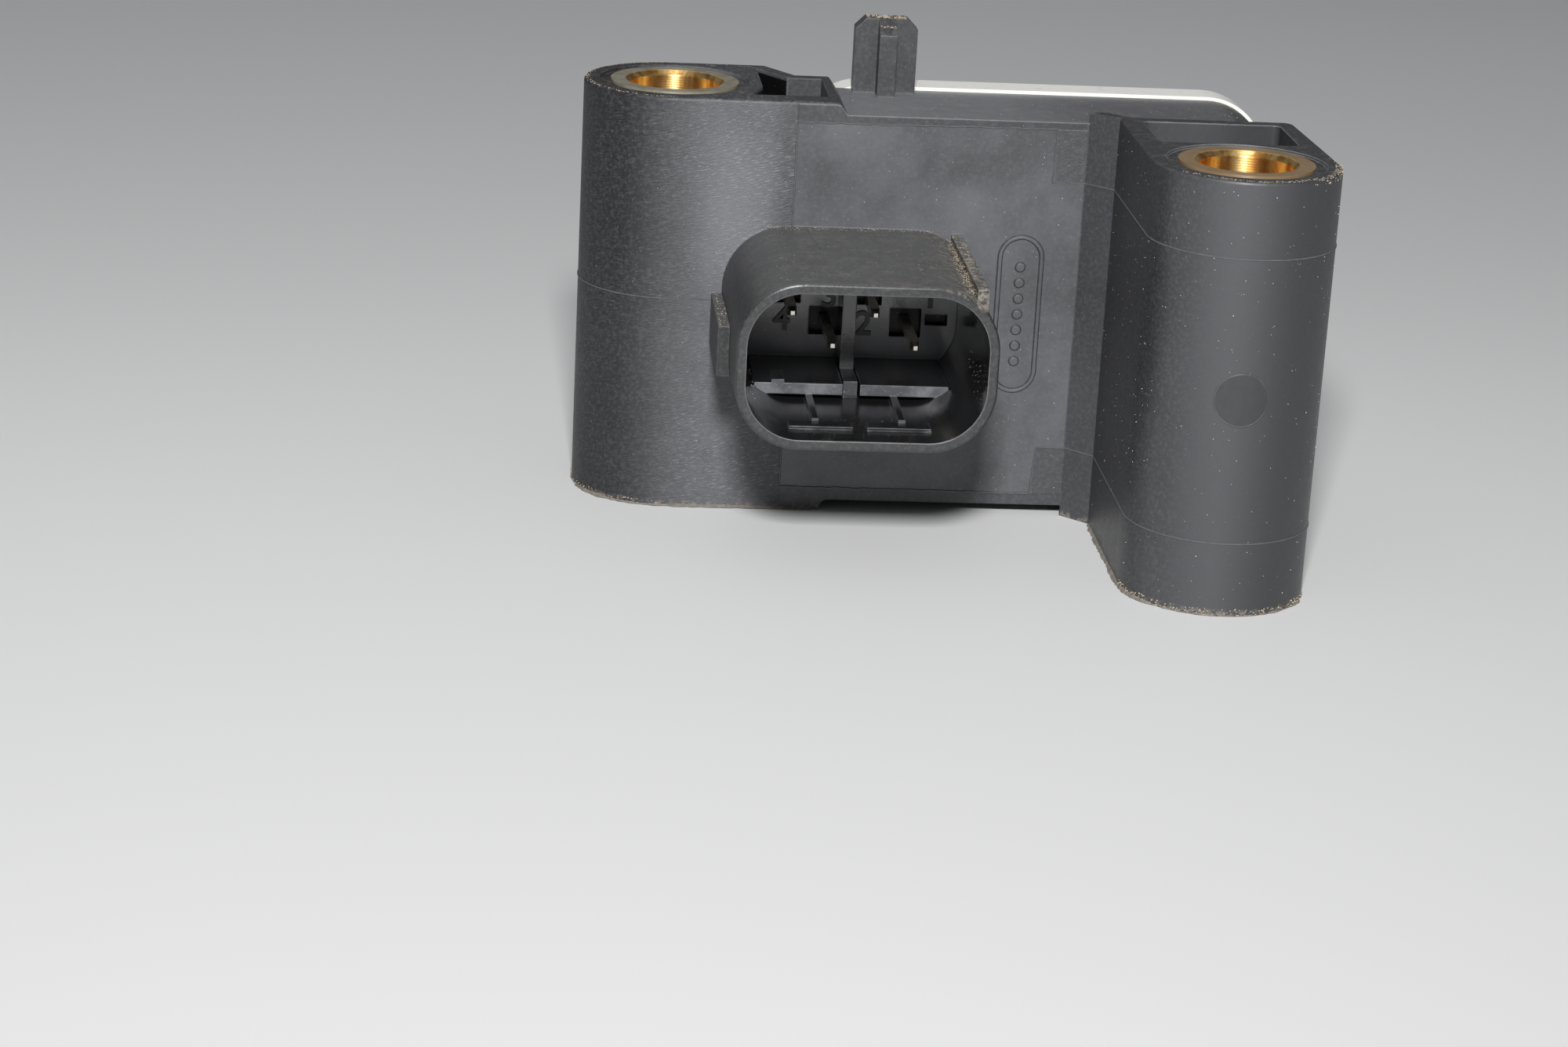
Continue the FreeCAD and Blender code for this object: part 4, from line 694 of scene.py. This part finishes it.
def stadium_frame():
    """Raised outline of the marking field beside the shroud."""
    z_low, z_high, radius = 9.4, 20.75, 1.5
    path = []
    for centre_z, first in ((z_high - radius, 0.0), (z_low + radius, math.pi)):
        for i in range(25):
            angle = first + math.pi * i / 24
            x, z = MARK_X + radius * math.cos(angle), centre_z + radius * math.sin(angle)
            path.append(((x, FRONT_Y, z), (0, -1, 0)))
    return strip(path, 0.42, 0.17, closed=True)


def tally_dots():
    """A column of small raised dots in the marking field."""
    parts = []
    for i in range(7):
        z = 11.6 + i * 1.16
        ring = [(MARK_X + DOT_R * math.cos(a), FRONT_Y + 0.02, z + DOT_R * math.sin(a))
                for a in np.linspace(0, 2 * math.pi, 16, endpoint=False)]
        top = [(MARK_X + (p[0] - MARK_X) * 0.7, FRONT_Y - 0.15, z + (p[2] - z) * 0.7)
               for p in ring]
        faces = [(j, (j + 1) % 16, 16 + (j + 1) % 16, 16 + j) for j in range(16)]
        faces.append(tuple(16 + j for j in range(16)))
        parts.append((ring + top, faces))
    return join(parts)


def ejector_print(lift):
    """Round print on the right boss, following its curve: disc and rim."""
    cx, cy = RIGHT_BOSS
    middle_x, middle_z, radius = 37.0, 15.2, 1.8

    def on_boss(x, z, out):
        side = math.asin((x - cx) / RIGHT_BOSS_R)
        outward = (math.sin(side), -math.cos(side), 0.0)
        reach = RIGHT_BOSS_R + out
        return (cx + reach * outward[0], cy + reach * outward[1], z), outward

    points, faces = [], []
    rings, spokes = 6, 48
    for ring in range(1, rings + 1):
        for spoke in range(spokes):
            angle = 2 * math.pi * spoke / spokes
            r = radius * ring / rings
            x, z = middle_x + r * math.cos(angle), middle_z + r * math.sin(angle)
            points.append(on_boss(x, z, lift)[0])
    points.append(on_boss(middle_x, middle_z, lift)[0])
    for spoke in range(spokes):
        after = (spoke + 1) % spokes
        faces.append((rings * spokes, after, spoke))
        for ring in range(rings - 1):
            a, b = ring * spokes, (ring + 1) * spokes
            faces.append((a + spoke, a + after, b + after, b + spoke))
    rim = [on_boss(middle_x + radius * math.cos(a), middle_z + radius * math.sin(a), 0.0)
           for a in np.linspace(0, 2 * math.pi, 64, endpoint=False)]
    return (points, faces), strip(rim, 0.14, 0.05, closed=True)


def foot_flash():
    """Ragged thin flash round the lower edges of both bosses."""
    dice = random.Random(5)
    parts = []
    for path in (round_left_boss(0.0, 11.2), round_arm(0.0, 29.05)):
        fine = []
        for (p, n), (q, m) in zip(path, path[1:]):
            a, b = Vector(p), Vector(q)
            steps = max(1, int((b - a).length / 0.12))
            fine += [(a.lerp(b, i / steps), Vector(n).lerp(Vector(m), i / steps))
                     for i in range(steps)]
        points, faces = [], []
        width = 0.1
        for i, (place, outward) in enumerate(fine):
            width = min(0.30, max(0.0, width + dice.uniform(-0.07, 0.07)))
            top = place + Vector((0, 0, 0.10 + 0.35 * width)) - outward * 0.03
            tip = place + outward * width + Vector((0, 0, 0.03))
            foot = place - outward * 0.03 + Vector((0, 0, 0.01))
            points += [tuple(top), tuple(tip), tuple(foot)]
            if i:
                a, b = 3 * (i - 1), 3 * i
                faces += [(a, a + 1, b + 1, b), (a + 1, a + 2, b + 2, b + 1)]
        parts.append((points, faces))
    return join(parts)


GRAIN_POINTS = ((1, 0, 0), (-1, 0, 0), (0, 1, 0), (0, -1, 0), (0, 0, 1), (0, 0, -1))
GRAIN_FACES = ((0, 2, 4), (2, 1, 4), (1, 3, 4), (3, 0, 4),
               (2, 0, 5), (1, 2, 5), (3, 1, 5), (0, 3, 5))


def grain(place, size, dice):
    """One irregular eight-sided grain."""
    angle = dice.uniform(0, 6.28)
    axis = Vector((dice.uniform(-1, 1), dice.uniform(-1, 1), 1))
    turn = Matrix.Rotation(angle, 3, axis)
    points = [tuple(Vector(place) + turn @ (Vector(v) * size * dice.uniform(0.5, 1.2)))
              for v in GRAIN_POINTS]
    return points, GRAIN_FACES


def scatter_dust():
    """Sandy grains where dirt has settled: boss tops and feet, tab, fin, shroud root, key."""
    dice = random.Random(23)
    grains = []

    def drop(count, spot, small=0.02, large=0.07):
        for i in range(count):
            grains.append(grain(spot(), dice.uniform(small, large), dice))

    def rim(cx, cy, low, high, z, first, last):
        angle = dice.uniform(first, last)
        r = dice.uniform(low, high)
        return cx + r * math.cos(angle), cy + r * math.sin(angle), z

    cx, cy = RIGHT_BOSS
    full = 2 * math.pi
    drop(380, lambda: rim(0, 0, 6.1, 6.45, BOSS_HEIGHT, math.pi * 0.45, math.pi * 1.5), 0.012, 0.05)
    drop(420, lambda: rim(cx, cy, 5.9, 6.35, BOSS_HEIGHT, math.pi * 1.2, full), 0.012, 0.05)
    drop(150, lambda: rim(0, 0, 6.48, 6.6, dice.uniform(0.03, 0.45), math.pi * 0.5, math.pi * 1.5),
         0.02, 0.09)
    drop(220, lambda: rim(cx, cy, 6.38, 6.5, dice.uniform(0.03, 0.5), math.pi, full), 0.02, 0.1)
    drop(260, lambda: rim(cx, cy, 6.15, 6.42, dice.uniform(29.6, 30.0), -1.0, 0.3), 0.02, 0.08)
    drop(170, lambda: (dice.uniform(13.8, 16.7), dice.uniform(1.85, 3.15), TAB_TOP), 0.03, 0.10)
    drop(60, lambda: (dice.uniform(14.7, 15.8), 1.05 + dice.uniform(-0.7, 0.7), 34.15), 0.02, 0.06)
    drop(620, lambda: (dice.triangular(18.7, 19.8, 19.7), dice.uniform(-22.0, -6.8),
                       dice.uniform(20.2, 20.5)), 0.012, 0.055)
    drop(90, lambda: (dice.uniform(19.75, 20.5), dice.uniform(-22.0, -6.8), 20.8), 0.02, 0.06)
    drop(170, lambda: (dice.uniform(6.0, 19.5), dice.triangular(-7.6, -6.5, -6.6), 21.02),
         0.015, 0.055)
    drop(90, lambda: (dice.uniform(2.95, 3.6), dice.uniform(-15.4, -6.6), 16.0), 0.02, 0.06)
    drop(160, lambda: (dice.uniform(12.0, 43.0), dice.uniform(-6.3, 3.0), BODY_TOP), 0.015, 0.05)
    drop(34, lambda: (dice.uniform(4.6, 5.6), dice.uniform(-21.5, -13.0),
                      12.3 + dice.uniform(-1, 0.6)), 0.012, 0.04)
    drop(44, lambda: (20.55 + dice.uniform(-0.2, 0.1), dice.uniform(-21.5, -14.0),
                      12.8 + dice.uniform(-1, 2.2)), 0.012, 0.04)
    drop(130, lambda: (dice.uniform(8.0, 17.5), dice.uniform(-21.8, -13.0), 10.05), 0.008, 0.025)
    return join(grains)


def scatter_specks():
    """Small pale specks stuck to the upright faces."""
    dice = random.Random(41)
    grains = []

    def stick(count, spot, small, large):
        for i in range(count):
            grains.append(grain(spot(), dice.uniform(small, large), dice))

    def on_boss():
        cx, cy = RIGHT_BOSS
        angle = dice.uniform(math.pi, 2 * math.pi)
        reach_x, reach_y = RIGHT_BOSS_R * math.cos(angle), RIGHT_BOSS_R * math.sin(angle)
        return cx + reach_x, cy + reach_y, dice.uniform(0.5, 29.4)

    stick(420, lambda: (dice.uniform(0.5, 29.0), FRONT_Y, dice.uniform(1.0, 29.0)), 0.014, 0.048)
    stick(270, on_boss, 0.014, 0.05)
    stick(120, lambda: (ARM_LEFT, dice.uniform(-21.0, -8.6), dice.uniform(0.5, 29.4)), 0.012, 0.04)
    stick(90, lambda: (dice.uniform(6.0, 19.0), dice.uniform(-22.0, -7.0), 20.97), 0.01, 0.03)
    tongue_y = SOCKET_FLOOR_Y - 7.1
    stick(70, lambda: (dice.uniform(6.0, 19.0), tongue_y, dice.uniform(10.5, 11.2)), 0.012, 0.03)
    return join(grains)


# Number, x and z
DIGIT_PLACES = (("1", 18.7, 15.9), ("2", 13.95, 13.75), ("3", 11.4, 15.75), ("4", 8.05, 13.95))


def contact_digits():
    """Raised contact numbers on the socket floor."""
    for text, x, z in DIGIT_PLACES:
        curve = bpy.data.curves.new("digit_" + text, "FONT")
        curve.body = text
        curve.align_x = "CENTER"
        curve.align_y = "CENTER"
        curve.size = 2.5 * MM
        curve.offset = 0.03 * MM
        curve.extrude = 0.14 * MM
        curve.bevel_depth = 0.02 * MM
        letter = bpy.data.objects.new("digit_curve_" + text, curve)
        bpy.context.scene.collection.objects.link(letter)
        bpy.context.view_layer.update()
        shaped = letter.evaluated_get(bpy.context.evaluated_depsgraph_get())
        mesh = bpy.data.meshes.new_from_object(shaped)
        upright = Matrix.Rotation(math.pi / 2, 4, "X")
        mesh.transform(Matrix.Translation((x * MM, SOCKET_FLOOR_Y * MM, z * MM)) @ upright)
        mesh.materials.clear()
        mesh.materials.append(DIGITS)
        bpy.data.objects.remove(letter)
        piece = bpy.data.objects.new("contact_digit_" + text, mesh)
        bpy.context.scene.collection.objects.link(piece)
        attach(piece, "root")


plastic = SLOTS["housing_plastic"]
add_piece("witness_lines", *witness_lines(), SEAM_HIGHLIGHT)
add_piece("marking_frame", *stadium_frame(), plastic)
add_piece("marking_dots", *tally_dots(), plastic)
disc, rim = ejector_print(0.03)
add_piece("ejector_disc", *disc, PRINT, smooth=True)
add_piece("ejector_rim", *rim, plastic)
add_piece("foot_flash", *foot_flash(), WORN)
add_piece("settled_dust", *scatter_dust(), DUST)
add_piece("pale_specks", *scatter_specks(), SPECKS)
contact_digits()


# Stage: pale floor, soft flash from above the camera, camera at the photo's place

FLOOR_DROP = 0.00002
LIGHT_AIM = (14.0, -10.0, 12.0)
FLASH_PLACE = (-16.0, -262.0, 175.0)
OVERHEAD_PLACE = (10.0, -60.0, 520.0)
SKY_COLOR = (0.92, 0.95, 1.0, 1.0)
SKY_STRENGTH = 0.14


def floor_material():
    """Pale paper, painted darker near the camera and paler away from it to even out the flash's
    falloff.
    """
    g = Graph("floor_paper")
    # Painted shade near the camera and painted light far away, against the flash's falloff
    near = g.ramp(g.y, -150.0, 40.0)
    far = g.ramp(g.y, 0.0, 240.0)
    color = g.mix(near, (0.42, 0.42, 0.415, 1.0), (0.72, 0.725, 0.72, 1.0))
    color = g.mix(far, color, (0.88, 0.885, 0.88, 1.0))
    color = g.mix(g.product(g.noise(0.02, 3.0), 0.06), color, (0.62, 0.625, 0.62, 1.0))
    return g.finish(color, 0.55, None, 0.0, 0.3)


def add_light(name, place, size, power):
    """A square lamp at a place in millimetres, aimed at the part."""
    light = bpy.data.lights.new(name, "AREA")
    light.size = size
    light.energy = power
    lamp = bpy.data.objects.new(name, light)
    lamp.location = [c * MM for c in place]
    aim = Vector([t - p for t, p in zip(LIGHT_AIM, place)])
    lamp.rotation_euler = aim.to_track_quat("-Z", "Y").to_euler()
    bpy.context.scene.collection.objects.link(lamp)


bpy.ops.mesh.primitive_plane_add(size=3.0, location=(0.0, 0.0, -FLOOR_DROP))
floor = bpy.context.object
floor.name = "floor"
floor.data.materials.append(floor_material())

add_light("flash", FLASH_PLACE, size=0.036, power=1.3)
add_light("overhead", OVERHEAD_PLACE, size=0.6, power=0.25)
world = bpy.data.worlds.new("studio")
world.use_nodes = True
sky = world.node_tree.nodes["Background"]
sky.inputs["Color"].default_value = SKY_COLOR
sky.inputs["Strength"].default_value = SKY_STRENGTH
bpy.context.scene.world = world

CAMERA_PLACE = (-0.01292, -0.24832, 0.07877)
YAW, PITCH, ROLL = -0.09, 0.318, -0.052
SENSOR_WIDTH = 36.0
FOCAL_SHARE = 4474.57 / 2000.0
across = np.array([math.cos(YAW), math.sin(YAW), 0.0])
level = math.cos(PITCH)
ahead = np.array([-math.sin(YAW) * level, math.cos(YAW) * level, -math.sin(PITCH)])
down = np.cross(ahead, across)
camera_x = across * math.cos(ROLL) + down * math.sin(ROLL)
camera_down = -across * math.sin(ROLL) + down * math.cos(ROLL)
camera_data = bpy.data.cameras.new("camera")
camera_data.sensor_width = SENSOR_WIDTH
camera_data.lens = FOCAL_SHARE * SENSOR_WIDTH
camera_data.clip_start = 0.01
camera = bpy.data.objects.new("camera", camera_data)
turn = Matrix([[camera_x[i], -camera_down[i], -ahead[i]] for i in range(3)]).to_4x4()
camera.matrix_world = Matrix.Translation(CAMERA_PLACE) @ turn
bpy.context.scene.collection.objects.link(camera)
bpy.context.scene.camera = camera
bpy.context.scene.view_settings.view_transform = "Standard"
